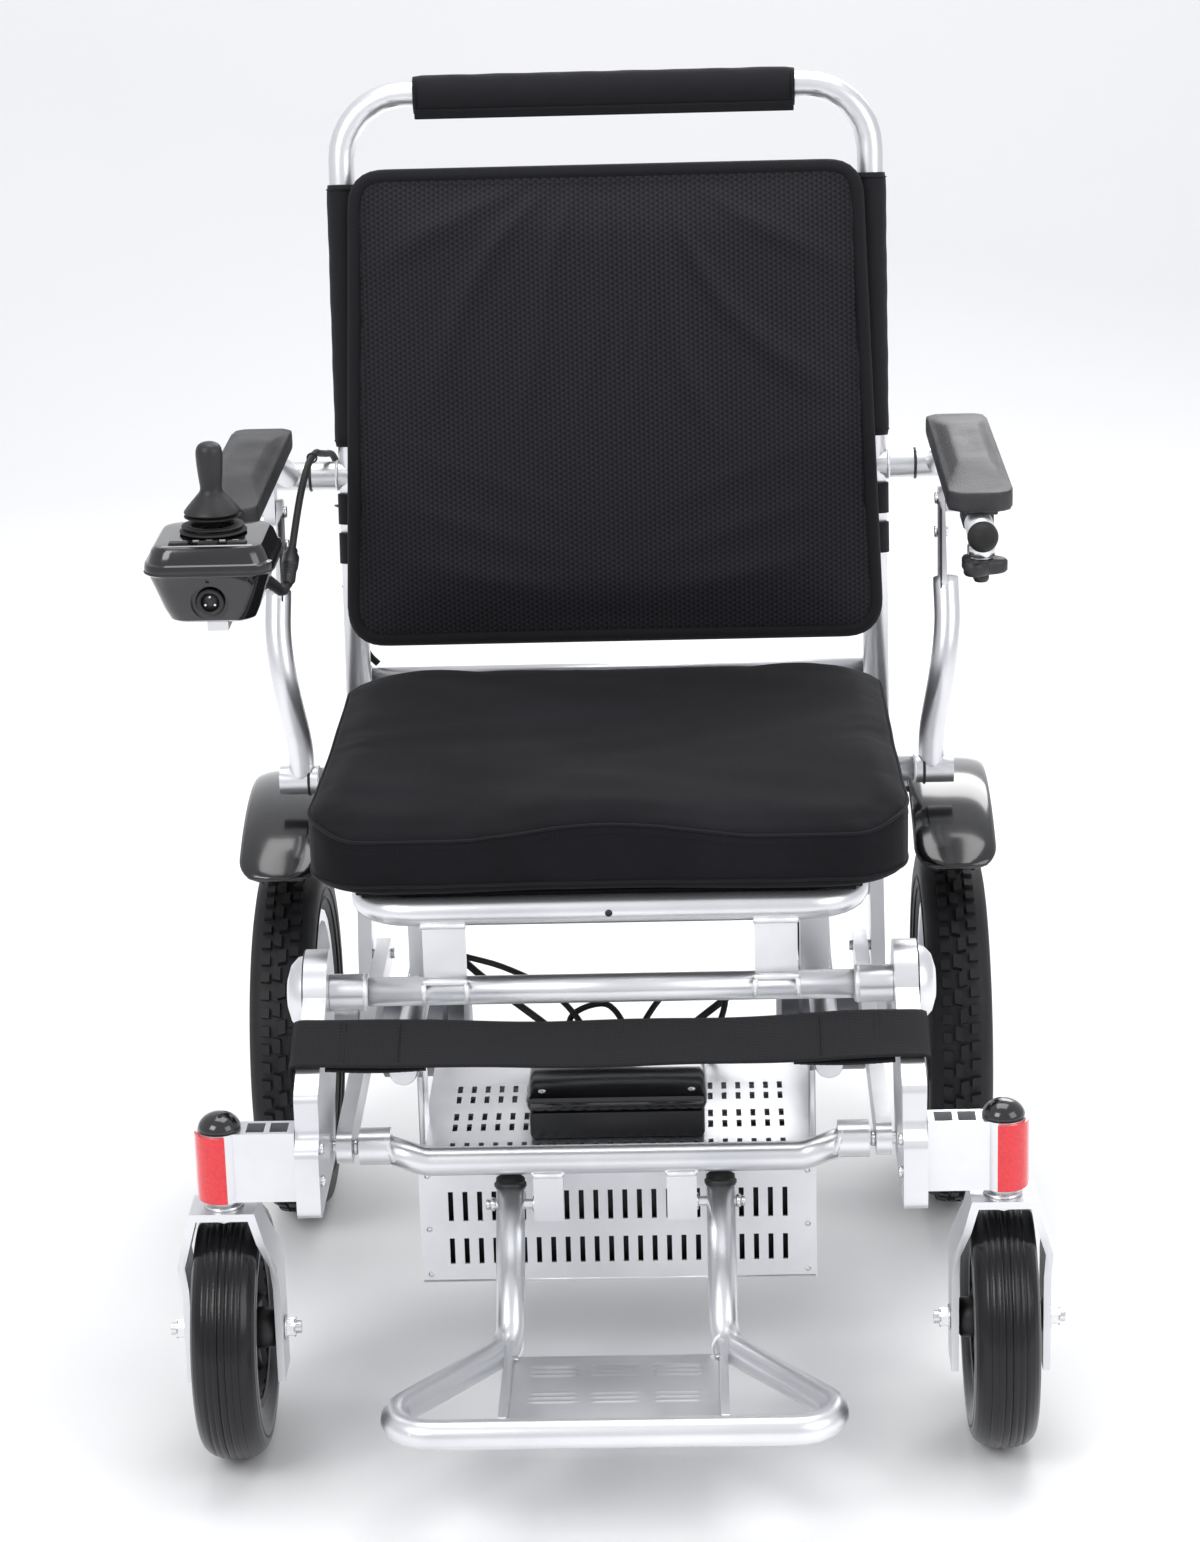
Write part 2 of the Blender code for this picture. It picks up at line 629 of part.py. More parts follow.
def front_side(name, side):
    profile = rounded_outline([
        (-0.385, 0.352), (-0.500, 0.302), (-0.500, 0.272), (-0.515, 0.263), (-0.515, 0.209),
        (-0.394, 0.209), (-0.352, 0.310)], 0.008)
    outer = PLATE_IN_X + PLATE_T
    arm = side_plate(f"side_plate_{name}", side, profile, (PLATE_IN_X, outer))
    cap = turned(f"hub_cap_{name}", [
        (0, 0.016), (0.012, 0.0155), (0.022, 0.0125), (0.028, 0.007), (0.030, 0), (0, 0)],
        (side * (outer - 0.001), *FRONT_PIVOT), outward(side), SILVER, 28)
    hub = cross_rod(f"side_hub_{name}", side * PLATE_IN_X, side * outer, FRONT_PIVOT, 0.034, sides=28)
    union(arm, hub, cap)
    pin_end = side * (outer + GAP)
    cut(arm, cross_rod(f"side_bore_{name}", side * 0.21, pin_end, FRONT_PIVOT, 0.008 + RUN))
    bottom = 0.222
    top = 0.277
    stem = (CASTER_X, CASTER_STEM_Y)
    beam = side_box(f"caster_beam_{name}", side, (outer + GAP, CASTER_X),
                    (stem[1] - 0.0125, stem[1] + 0.0125), (bottom, top))
    union(beam, rod(f"boss_{name}", (side * stem[0], stem[1], bottom), (side * stem[0], stem[1], top),
                    0.0168, sides=28))
    for pocket, start in enumerate((0.2405, 0.2580)):
        cut(beam, side_box(f"pocket_{name}_{pocket}", side, (start, start + 0.0135),
                           (stem[1] - 0.0088, stem[1] + 0.0088), (0.232, 0.29)))
    cut(beam, rod(f"stem_bore_{name}", (side * stem[0], stem[1], 0.21), (side * stem[0], stem[1], 0.29),
                  0.0065 + RUN, sides=16))
    turned(f"beam_cap_{name}", [
        (0, 0.013), (0.007, 0.0122), (0.013, 0.009), (0.0162, 0.004), (0.0165, 0), (0, 0)],
        (side * stem[0], stem[1], top + GAP), "Z", MATTE, 24)
    start = -math.pi / 2 - 0.30
    sweep = 1.75
    steps = 8
    arc = [start + sweep * number / steps for number in range(steps + 1)]
    points = [(0.0190 * math.cos(a), 0.0190 * math.sin(a)) for a in arc]
    points += [(0.0172 * math.cos(a), 0.0172 * math.sin(a)) for a in arc[::-1]]
    outline = [(side * (stem[0] + x), stem[1] + y) for x, y in points]
    plate(f"reflector_{name}", outline, bottom + 0.001, top - 0.001, "Z", RED)


def calf_strap():
    half = PLATE_IN_X + PLATE_T + 0.0035
    thick = 0.0025
    sag = 0.004
    drop = 0.024
    top = thick + 0.0005
    outline = [(-half, -drop), (-half, top), (-0.16, top), (0, top - sag), (0.16, top), (half, top),
               (half, -drop), (half - thick, -drop), (half - thick, top - thick),
               (0.16, top - thick), (0, top - sag - thick), (-0.16, top - thick),
               (thick - half, top - thick), (thick - half, -drop)]
    strap = plate("calf_strap", outline, -0.025, 0.025, "Y", WEBBING)
    edge_slope = math.atan2(0.352 - 0.302, 0.500 - 0.385)
    place = (-0.452, 0.3250)
    strap.data.transform(strap.matrix_basis)
    strap.matrix_basis = Matrix.Identity(4)
    strap.data.transform(Matrix.Translation((0, *place)) @ Matrix.Rotation(edge_slope, 4, "X"))


def front_crossbar():
    y = LINK_FRONT[0]
    bar = pipe("front_crossbar", rounded_path([
        (-0.184, *LINK_FRONT), (-CROSSBAR_HALF, y, CROSSBAR_Z), (CROSSBAR_HALF, y, CROSSBAR_Z),
        (0.184, *LINK_FRONT)], 0.03), TUBE_R)
    for name, side in SIDES:
        union(
            bar,
            cross_rod(f"bushing_{name}", side * 0.172, side * 0.196, LINK_FRONT, 0.0145),
            cross_rod(f"front_link_pin_{name}", side * 0.19, side * (PLATE_IN_X - GAP), LINK_FRONT,
                      PIN_R, sides=12),
            side_box(f"foot_tab_{name}", side, (0.040, 0.063), (y - 0.007, y + 0.007),
                     (FOOT_PIVOT[1] - 0.012, CROSSBAR_Z)),
            cross_rod(f"foot_pin_{name}", side * 0.06, side * 0.0975, FOOT_PIVOT, 0.004, sides=12),
        )


def fold_link(name, side):
    outline = hull_outline([(*LINK_FRONT, 0.013), (*LINK_REAR, 0.013)])
    link = side_plate(f"fold_link_{name}", side, outline, (LINK_IN_X, LINK_IN_X + LINK_T))
    for place, end in ((LINK_FRONT, "front"), (LINK_REAR, "rear")):
        hole = cross_rod(f"link_hole_{name}_{end}", side * 0.19, side * 0.22, place, PIN_R + RUN, sides=12)
        cut(link, hole)


# ---------------------------------------------------------------- footrest

def footrest():
    rise = Vector((FOOT_PIVOT[0] - FOOT_BEND[0], FOOT_PIVOT[1] - FOOT_BEND[1])).normalized()
    top = (FOOT_PIVOT[0] + rise[0] * FOOT_TUBE_TOP, FOOT_PIVOT[1] + rise[1] * FOOT_TUBE_TOP)
    half = [(FOOT_TUBE_X, *top), (FOOT_TUBE_X, *FOOT_BEND), (FOOT_BAR_CORNER_X, *FOOT_BAR)]
    mirrored = [(-x, y, z) for x, y, z in half[::-1]]
    frame = pipe("footrest_frame", rounded_path(half + mirrored, 0.030), TUBE_R)
    plate_rear_y = -0.493
    plate_front_y = -0.606
    for name, side in SIDES:
        x = FOOT_TUBE_X
        rail = side_box(f"foot_rail_{name}", side, (x - 0.003, x + 0.003), (-0.62, -0.476), (-0.010, 0.010))
        rail.data.transform(Matrix.Translation((0, 0, 0.0865)))
        tilted(rail, -0.03, (-0.55, 0.0865))
        union(frame, rail)
        hole = cross_rod(f"foot_hole_{name}", side * 0.05, side * 0.11, FOOT_PIVOT, 0.004 + RUN, sides=12)
        cut(frame, hole)
        centre = Vector((side * x, *top)) + Vector((0, *rise)) * GAP
        bumper = turned(f"footrest_bumper_{name}", [
            (0, 0.0128), (0.006, 0.0122), (0.0112, 0.0085), (0.0115, 0), (0, 0)], centre, "Z", RUBBER, 20)
        bumper.rotation_euler = (-math.atan2(rise[0], rise[1]), 0, 0)
    edge = FOOT_TUBE_X - 0.003 - GAP
    tread = box("footplate", (-edge, plate_front_y, 0.083), (edge, plate_rear_y, 0.086))
    for row in (0, 1):
        for column in (-1, 0, 1):
            y = -0.566 + 0.046 * row
            union(tread, box(f"rib_{row}_{column + 1}", (column * 0.046 - 0.019, y - 0.014, 0.0845),
                             (column * 0.046 + 0.019, y + 0.014, 0.0875)))
    tilted(tread, -0.03, (-0.55, 0.0865))
    for modifier in tread.modifiers:
        tilted(modifier.object, -0.03, (-0.55, 0.0865))


# ---------------------------------------------------------------- casters

def caster(name, side):
    def spot(x, y, z):
        return (side * (CASTER_X + x), y, z)

    crown_top = 0.215
    inside = [(-0.032, 0.063), (-0.032, 0.165), (-0.0195, 0.209), (0.0195, 0.209), (0.032, 0.165),
              (0.032, 0.063)]
    outside = [(0.0375, 0.063), (0.0375, 0.165), (0.0245, crown_top), (-0.0245, crown_top),
               (-0.0375, 0.165), (-0.0375, 0.063)]
    middle = side * CASTER_X
    outline = [(middle + x, z) for x, z in inside + outside]
    fork = plate(f"caster_fork_{name}", outline, CASTER_STEM_Y - 0.02, CASTER_AXLE_Y + 0.02, "Y")
    lean = [(CASTER_STEM_Y - 0.0185, 0.22), (CASTER_STEM_Y - 0.0185, 0.19),
            (CASTER_AXLE_Y - 0.0185, 0.14), (CASTER_AXLE_Y - 0.0185, 0.06),
            (CASTER_AXLE_Y + 0.0185, 0.06), (CASTER_AXLE_Y + 0.0185, 0.15),
            (CASTER_STEM_Y + 0.0185, 0.20), (CASTER_STEM_Y + 0.0185, 0.22)]
    combine(fork, plate(f"fork_shape_{name}", lean, middle - 0.05, middle + 0.05, "X"), "INTERSECT")
    stem_y = CASTER_STEM_Y
    union(
        fork,
        rod(f"stem_{name}", spot(0, stem_y, 0.205), spot(0, stem_y, 0.270), 0.0065),
        rod(f"stem_collar_{name}", spot(0, stem_y, 0.213), spot(0, stem_y, 0.2215), 0.011),
        rod(f"stem_nut_{name}", spot(0, stem_y, 0.2035), spot(0, stem_y, 0.212), 0.009, sides=6),
    )
    axle = (CASTER_AXLE_Y, CASTER_R)
    cut(fork, cross_rod(f"fork_hole_{name}", middle - 0.05, middle + 0.05, axle, 0.0048 + GAP, sides=12))
    bolt = cross_rod(f"caster_axle_{name}", middle - 0.0500, middle + 0.0500, axle, 0.0048, STEEL, 12)
    for end in (-1, 1):
        face = middle + end * (0.0375 + GAP)
        union(bolt, cross_rod(f"axle_nut_{name}_{end + 1}", face, face + end * 0.008, axle, 0.0078, STEEL, 6))
    centre = (middle, *axle)
    half = CASTER_W / 2
    bore = CASTER_HUB_R + GAP
    turned(f"caster_tyre_{name}", [
        (bore, 0.019), (CASTER_HUB_R + 0.012, half), (CASTER_R - 0.014, half),
        (CASTER_R - 0.005, half - 0.007), (CASTER_R, half - 0.017), (CASTER_R, 0.017 - half),
        (CASTER_R - 0.005, 0.007 - half), (CASTER_R - 0.014, -half), (CASTER_HUB_R + 0.012, -half),
        (bore, -0.019)], centre, "X", TYRE, 24)
    pin = 0.0048 + GAP
    turned(f"caster_hub_{name}", [
        (pin, 0.0312), (0.013, 0.0312), (0.014, 0.010), (0.052, 0.008), (0.055, 0.018),
        (CASTER_HUB_R, 0.018), (CASTER_HUB_R, -0.018), (0.055, -0.018), (0.052, -0.008),
        (0.014, -0.010), (0.013, -0.0312), (pin, -0.0312)], centre, "X", MATTE, 24)


# ---------------------------------------------------------------- backrest

def backrest_frame():
    bottom = (back_y(BACK_END_Z), BACK_END_Z)
    top = (back_y(HANDLE_Z), HANDLE_Z)
    frame = pipe("backrest_frame", rounded_path([
        (-BACK_X, *bottom), (-BACK_X, *top), (BACK_X, *top), (BACK_X, *bottom)],
        HANDLE_CORNER_R), TUBE_R)
    brace = (back_y(0.45) + 0.018, 0.45)
    union(frame, cross_rod("back_brace", -BACK_X, BACK_X, brace, 0.009, sides=12))
    for name, side in SIDES:
        union(
            frame,
            cross_rod(f"arm_stub_{name}", side * BACK_X, side * 0.2635, ARM_PIVOT, 0.0125),
            cross_rod(f"arm_pin_{name}", side * 0.255, side * 0.2985, ARM_PIVOT, 0.007, sides=12),
        )
        hole = cross_rod(f"back_hole_{name}", side * 0.20, side * 0.25, BACK_PIVOT, PIN_R + RUN, sides=12)
        cut(frame, hole)


def reclined_box(name, low, high, material, bevel=0.0):
    """A box given along the upright's line: its Y is measured from that line, its Z is a height."""
    rise = 1 / math.cos(RECLINE)
    foot = (back_y(low[2]), low[2])
    length = (high[2] - low[2]) * rise
    obj = box(name, (low[0], low[1], 0), (high[0], high[1], length), material, bevel)
    obj.data.transform(Matrix.Translation((0, *foot)) @ Matrix.Rotation(-RECLINE, 4, "X"))
    return obj


def back_soft_pieces():
    sleeve = TUBE_R + 0.0025
    half = BACK_X - 0.0125
    sling = reclined_box("back_sling", (-half, -0.0015, 0.500), (half, 0.0015, 0.878), FABRIC)
    for name, side in SIDES:
        low = (side * BACK_X, back_y(0.657), 0.657)
        high = (side * BACK_X, back_y(0.880), 0.880)
        union(sling, rod(f"sling_sleeve_{name}", low, high, sleeve, FABRIC, 16))
        past_low = (side * BACK_X, back_y(0.48), 0.48)
        past_high = (side * BACK_X, back_y(0.90), 0.90)
        cut(sling, rod(f"sling_bore_{name}", past_low, past_high, TUBE_R + GAP, FABRIC, 20))
    gap = sleeve + 0.001
    rise = (BACK_CUSHION_TOP_Z - BACK_CUSHION_BOTTOM_Z) / math.cos(RECLINE)
    sections = []
    for height, width in ((0, BACK_CUSHION_BOTTOM_W), (rise, BACK_CUSHION_TOP_W)):
        outline = rounded_rectangle((0, -gap - BACK_CUSHION_T / 2), width / 2, BACK_CUSHION_T / 2, 0.008, 2)
        sections.append([(x, y, height) for x, y in outline])
    cushion = loft("back_cushion", sections, FABRIC)
    foot = (back_y(BACK_CUSHION_BOTTOM_Z), BACK_CUSHION_BOTTOM_Z)
    cushion.data.transform(Matrix.Translation((0, *foot)) @ Matrix.Rotation(-RECLINE, 4, "X"))
    handle = (back_y(HANDLE_Z), HANDLE_Z)
    outline = rounded_outline([
        (handle[0] - 0.015, handle[1] - 0.021), (handle[0] + 0.0155, handle[1] - 0.021),
        (handle[0] + 0.0155, handle[1] + 0.019), (handle[0] - 0.015, handle[1] + 0.019)], 0.012)
    cover = plate("handle_sleeve", outline, -0.165, 0.165, "X", FABRIC)
    cut(cover, cross_rod("handle_bore", -0.2, 0.2, handle, TUBE_R + GAP, sides=20))


# ---------------------------------------------------------------- armrests

def armrest(name, side):
    def spot(x, y, z):
        return (side * x, y, z)

    front_y = PAD_FRONT_Y + 0.003 if side < 0 else PAD_FRONT_Y - 0.010
    arm = pipe(f"arm_frame_{name}", rounded_path([
        spot(0.2825, *ARM_PIVOT), spot(ARM_X, 0.050, ARM_TUBE_Z), spot(ARM_X, front_y, ARM_TUBE_Z)],
        0.03), TUBE_R)
    lug = hull_outline([(*ARM_LUG, 0.012), (ARM_LUG[0], ARM_TUBE_Z, 0.012)])
    union(
        arm,
        cross_rod(f"arm_sleeve_{name}", side * 0.2645, side * 0.3000, ARM_PIVOT, 0.0125),
        side_plate(f"arm_lug_{name}", side, lug, (0.2822, 0.2918)),
    )
    if side < 0:
        union(
            arm,
            side_box("stick_drop", side, (0.284, 0.300), (-0.264, -0.250), (0.618, ARM_TUBE_Z)),
            side_box("stick_carrier", side, (0.284, 0.300), (-0.335, -0.250), (0.618, STICK_BOTTOM_Z - GAP)),
        )
    else:
        union(arm, rod("clamp_boss", spot(ARM_X, -0.262, 0.6445), spot(ARM_X, -0.262, ARM_TUBE_Z),
                       0.009, sides=12))
    cut(arm, cross_rod(f"arm_bore_{name}", side * 0.25, side * 0.2988, ARM_PIVOT, 0.007 + RUN, sides=12))
    cut(arm, cross_rod(f"lug_bore_{name}", side * 0.27, side * 0.31, ARM_LUG, 0.004 + RUN, sides=12))
    pad_low = (ARM_X - PAD_W / 2, ARM_X + PAD_W / 2)
    pad = side_box(f"arm_pad_{name}", side, pad_low, (PAD_FRONT_Y, PAD_REAR_Y), (PAD_Z, PAD_Z + PAD_T),
                   PAD_SKIN, 0.009)
    pad.modifiers["rounded_edges"].segments = 3
    post(name, side)


def post(name, side):
    def spot(x, y, z):
        return (side * x, y, z)

    top = (-0.022, 0.566)
    tube = pipe(f"arm_post_{name}", smooth_path([
        spot(0.268, POST_PIVOT[0], POST_PIVOT[1] + 0.002), spot(0.269, -0.036, 0.440),
        spot(0.276, -0.048, 0.490), spot(0.281, -0.040, 0.530), spot(0.281, *top)], 3), 0.0105)
    bracket = hull_outline([(*top, 0.014), (*ARM_LUG, 0.011)])
    union(
        tube,
        cross_rod(f"post_sleeve_{name}", side * (0.2535 + GAP), side * 0.2870, POST_PIVOT, 0.0125),
        side_plate(f"post_bracket_{name}", side, bracket, (0.2765, 0.2815)),
        cross_rod(f"post_bolt_{name}", side * 0.279, side * 0.2945, ARM_LUG, 0.004, sides=12),
    )
    cut(tube, cross_rod(f"post_bore_{name}", side * 0.24, side * 0.2800, POST_PIVOT, 0.008 + RUN))


def clamp_knob():
    y = -0.262
    lobes = []
    steps = 36
    for number in range(steps):
        angle = 2 * math.pi * number / steps
        radius = 0.0165 + 0.0040 * math.cos(3 * angle)
        lobes.append((ARM_X + radius * math.cos(angle), y + radius * math.sin(angle)))
    knob = plate("clamp_knob", lobes, 0.632, 0.6442, "Z", MATTE)
    union(knob, rod("knob_stud", (ARM_X, y, 0.625), (ARM_X, y, 0.64), 0.006, MATTE, 12))


# ---------------------------------------------------------------- joystick

def joystick():
    def ring(z, half_x, half_y, radius):
        outline = rounded_rectangle((STICK_X, STICK_Y), half_x, half_y, radius, 3)
        return [(x, y, z) for x, y in outline]

    housing = loft("joystick_housing", [
        ring(STICK_BOTTOM_Z, 0.030, 0.032, 0.012), ring(0.634, 0.035, 0.037, 0.014),
        ring(STICK_LIP_Z - 0.006, 0.046, 0.047, 0.016), ring(STICK_LIP_Z, STICK_HALF, STICK_HALF, 0.018),
        ring(STICK_LIP_Z + 0.004, 0.048, 0.048, 0.018), ring(STICK_TOP_Z, 0.041, 0.044, 0.016)], GLOSS)
    well = (STICK_X, STICK_KNOB_Y)
    cut(housing, rod("stick_well", (*well, 0.655), (*well, 0.70), 0.016, sides=20))
    for label, x in (("power", -0.022), ("horn", 0), ("speed", 0.022)):
        centre = STICK_X + x
        half_x = 0.0075
        half_y = 0.0040
        pocket_z = STICK_TOP_Z - 0.0035
        cut(housing, box(f"{label}_pocket", (centre - half_x, BUTTON_Y - half_y, pocket_z),
                         (centre + half_x, BUTTON_Y + half_y, 0.70)))
        button_bottom = pocket_z + BUTTON_TRAVEL + 0.0002
        box(f"{label}_button", (centre - half_x + RUN, BUTTON_Y - half_y + RUN, button_bottom),
            (centre + half_x - RUN, BUTTON_Y + half_y - RUN, STICK_TOP_Z + 0.0015), PAD_SKIN)
    place = (*well, STICK_PIVOT_Z)
    turned("joystick_gimbal", [
        (0.0140, 0.003), (0.0140, -0.003), (0.0066, -0.003), (0.0066, 0.003)], place, "Z", STEEL, 20)
    turned("joystick_boot", [
        (0.0180, 0.0142), (0.0195, 0.012), (0.0180, 0.010), (0.0225, 0.0075), (0.0205, 0.005),
        (0.0250, 0.0025), (0.0250, GAP), (0.0170, GAP), (0.0130, 0.0142)],
        (*well, STICK_TOP_Z), "Z", RUBBER, 16)
    turned("joystick_knob", [
        (0, 0.095), (0.0060, 0.0945), (0.0095, 0.091), (0.0105, 0.085), (0.0098, 0.068), (0.0085, 0.058),
        (0.0100, 0.054), (0.0220, 0.0415), (0.0220, 0.0400), (0.0040, 0.0400), (0.0040, 0.006),
        (0.0060, 0.002), (0.0060, -0.002), (0.0040, -0.005), (0, -0.005)], place, "Z", MATTE, 16)


LEAD_R = 0.003
LEAD_ROUTE = (
    (-0.264, -0.2690, 0.6420), (-0.257, -0.2500, 0.6300), (-0.2530, -0.2300, 0.6200),
    (-0.2525, -0.1950, 0.6200), (-0.2525, -0.1400, 0.6420), (-0.2525, -0.0700, 0.6620),
    (-0.2525, 0.0000, 0.6700), (-0.2525, 0.0600, 0.6660), (-0.2525, 0.0950, 0.6580),
    (-0.2525, 0.1210, 0.6515),
)
BACK_LEAD_ROUTE = (
    (-0.2460, 0.1150, 0.6525), (-0.2455, 0.1340, 0.6480), (-0.2420, 0.1450, 0.6340),
    (-0.2360, 0.1430, 0.6100), (-0.2300, 0.1330, 0.5700), (-0.2280, 0.1260, 0.5200),
    (-0.2260, 0.1200, 0.4850), (-0.2200, 0.1180, 0.4700), (-0.2120, 0.1150, 0.4620),
)


def leads():
    lead = pipe("joystick_lead", smooth_path(LEAD_ROUTE, 3), LEAD_R, RUBBER, 2)
    union(lead, rod("inline_plug", (-0.2525, -0.205, 0.6190), (-0.2525, -0.155, 0.6370), 0.0065, RUBBER, 12))
    pipe("back_lead", smooth_path(BACK_LEAD_ROUTE, 3), LEAD_R, RUBBER, 2)


rear_frame()
battery_tray()
battery_and_controller()
seat_frame()
seat_soft_pieces()
calf_strap()
front_crossbar()
footrest()
backrest_frame()
back_soft_pieces()
joystick()
clamp_knob()
leads()
for side_name, side_sign in SIDES:
    motor(side_name, side_sign)
    fender(side_name, side_sign)
    rear_wheel(side_name, side_sign)
    front_side(side_name, side_sign)
    fold_link(side_name, side_sign)
    caster(side_name, side_sign)
    armrest(side_name, side_sign)
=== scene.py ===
"""Looks of the folding power wheelchair: finishes, soft goods, tyres, fittings, light and camera.

Places are written in the wheelchair's own plan, Y from the rear axle, and at() moves them to the
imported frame. Metres throughout.
"""
import json
import math

import bmesh
import bpy
from mathutils import Matrix, Vector


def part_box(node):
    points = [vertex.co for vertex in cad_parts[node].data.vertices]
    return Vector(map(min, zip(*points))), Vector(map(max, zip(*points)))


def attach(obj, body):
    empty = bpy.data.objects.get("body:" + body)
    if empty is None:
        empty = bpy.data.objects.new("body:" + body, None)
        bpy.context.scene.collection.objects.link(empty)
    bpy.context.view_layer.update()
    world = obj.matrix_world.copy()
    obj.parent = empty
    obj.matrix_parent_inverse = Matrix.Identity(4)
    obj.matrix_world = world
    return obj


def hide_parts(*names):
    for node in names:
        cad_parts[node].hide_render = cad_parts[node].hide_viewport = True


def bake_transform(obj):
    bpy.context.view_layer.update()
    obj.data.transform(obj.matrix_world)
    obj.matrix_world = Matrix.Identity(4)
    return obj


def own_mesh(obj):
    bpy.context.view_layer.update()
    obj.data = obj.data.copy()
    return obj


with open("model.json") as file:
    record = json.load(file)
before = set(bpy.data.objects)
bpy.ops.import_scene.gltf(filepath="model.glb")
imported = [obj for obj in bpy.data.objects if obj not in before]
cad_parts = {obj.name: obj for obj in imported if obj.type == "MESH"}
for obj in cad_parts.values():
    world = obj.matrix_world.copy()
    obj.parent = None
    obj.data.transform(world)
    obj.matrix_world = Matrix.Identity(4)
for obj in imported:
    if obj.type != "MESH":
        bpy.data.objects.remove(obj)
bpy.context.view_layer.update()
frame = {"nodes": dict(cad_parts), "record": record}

tyre_low, tyre_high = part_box("rear_tyre_left")
AXLE_Y = (tyre_low[1] + tyre_high[1]) / 2
TAU = 2 * math.pi
SIDES = (("left", -1), ("right", 1))

TUBE_R = 0.0112
BACK_X = 0.228
BACK_LOW = (0.095, 0.462)
BACK_HIGH = (0.163, 0.900)
HANDLE_Z = 0.955
SEAT_RAIL_X = 0.1895
SEAT_RAIL_Z = 0.401
FRONT_PIVOT = (-0.370, 0.336)
REAR_PIVOT = (0.035, 0.345)
LINK_FRONT = (-0.410, 0.224)
POST_PIVOT = (-0.030, SEAT_RAIL_Z)
FOOT_PIVOT = (-0.410, 0.1735)
CASTER_X = 0.292
REAR_WHEEL_X = 0.2865
REAR_WHEEL_R = 0.159
RECLINE = math.atan2(BACK_HIGH[0] - BACK_LOW[0], BACK_HIGH[1] - BACK_LOW[1])


def at(x, y, z):
    """A place in the wheelchair's plan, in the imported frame."""
    return Vector((x, y + AXLE_Y, z))


def back_y(z):
    """Y of the uprights' centre line at height z."""
    return BACK_LOW[0] + (z - BACK_LOW[1]) * math.tan(RECLINE)


BACK_PIVOT = (back_y(0.405), 0.405)
ARM_PIVOT = (back_y(0.632), 0.632)
ARM_LUG = (POST_PIVOT[0] + ARM_PIVOT[0] - BACK_PIVOT[0],
    POST_PIVOT[1] + ARM_PIVOT[1] - BACK_PIVOT[1])


# ---------------------------------------------------------------- finishes

class Finish:
    """A Principled material with its textures in the piece's own coordinates."""

    def __init__(self, name, colour, roughness, metallic=0.0, **sockets):
        self.material = bpy.data.materials.new(name)
        self.material.use_nodes = True
        self.tree = self.material.node_tree
        self.shader = self.tree.nodes["Principled BSDF"]
        self.shader.inputs["Base Color"].default_value = (*colour, 1)
        self.shader.inputs["Roughness"].default_value = roughness
        self.shader.inputs["Metallic"].default_value = metallic
        for socket, value in sockets.items():
            self.shader.inputs[socket.replace("_", " ")].default_value = value
        self.place = self.tree.nodes.new("ShaderNodeTexCoord").outputs["Object"]
        self.normal = None

    def node(self, kind, inputs=(), **settings):
        made = self.tree.nodes.new(kind)
        for setting, value in settings.items():
            setattr(made, setting, value)
        for key, value in dict(inputs).items():
            if isinstance(value, bpy.types.NodeSocket):
                self.tree.links.new(value, made.inputs[key])
            else:
                made.inputs[key].default_value = value
        return made

    def maths(self, operation, first, second=0.0):
        return self.node("ShaderNodeMath", {0: first, 1: second}, operation=operation).outputs[0]

    def noise(self, scale, detail=3.0, stretch=(1, 1, 1)):
        vector = self.node("ShaderNodeMapping", {"Vector": self.place, "Scale": stretch}).outputs[0]
        made = self.node("ShaderNodeTexNoise", {"Vector": vector, "Scale": scale, "Detail": detail})
        return made.outputs["Fac"]

    def cells(self, scale, feature="F1"):
        made = self.node("ShaderNodeTexVoronoi", {"Vector": self.place, "Scale": scale},
            feature=feature)
        return made.outputs["Distance"]

    def waves(self, direction, pitch, tilt=0.0):
        """Ridges across the direction, one every pitch, from 0 to 1."""
        turned = self.node("ShaderNodeVectorRotate", {"Vector": self.place, "Angle": tilt},
                           rotation_type="X_AXIS").outputs[0]
        along = self.node("ShaderNodeVectorMath", {0: turned, 1: direction},
            operation="DOT_PRODUCT")
        angle = self.maths("MULTIPLY", along.outputs["Value"], TAU / pitch)
        return self.maths("MULTIPLY_ADD", self.maths("SINE", angle), 0.5)

    def colours(self, factor, low, high, start=0.0, end=1.0):
        ramp = self.node("ShaderNodeMapRange",
            {"Value": factor, "From Min": start, "From Max": end})
        mix = self.node("ShaderNodeMix", {"Factor": ramp.outputs[0]}, data_type="RGBA")
        mix.inputs[6].default_value = (*low, 1)
        mix.inputs[7].default_value = (*high, 1)
        self.tree.links.new(mix.outputs[2], self.shader.inputs["Base Color"])
        return self

    def roughness(self, factor, low, high):
        ramp = self.node("ShaderNodeMapRange", {"Value": factor, "To Min": low, "To Max": high})
        self.tree.links.new(ramp.outputs[0], self.shader.inputs["Roughness"])
        return self

    def bump(self, height, strength, distance):
        inputs = {"Height": height, "Strength": strength, "Distance": distance}
        if self.normal is not None:
            inputs["Normal"] = self.normal
        self.normal = self.node("ShaderNodeBump", inputs).outputs[0]
        self.tree.links.new(self.normal, self.shader.inputs["Normal"])
        return self


def aluminium():
    finish = Finish("satin_aluminium", (0.80, 0.81, 0.83), 0.30, 0.92)
    fleck = finish.noise(900, 2)
    wear = finish.noise(9, 5)
    finish.colours(wear, (0.70, 0.71, 0.735), (0.86, 0.865, 0.88), 0.3, 0.7)
    finish.roughness(fleck, 0.24, 0.42)
    finish.bump(fleck, 0.10, 0.0003)
    return finish.bump(finish.noise(60, 3), 0.06, 0.0006).material


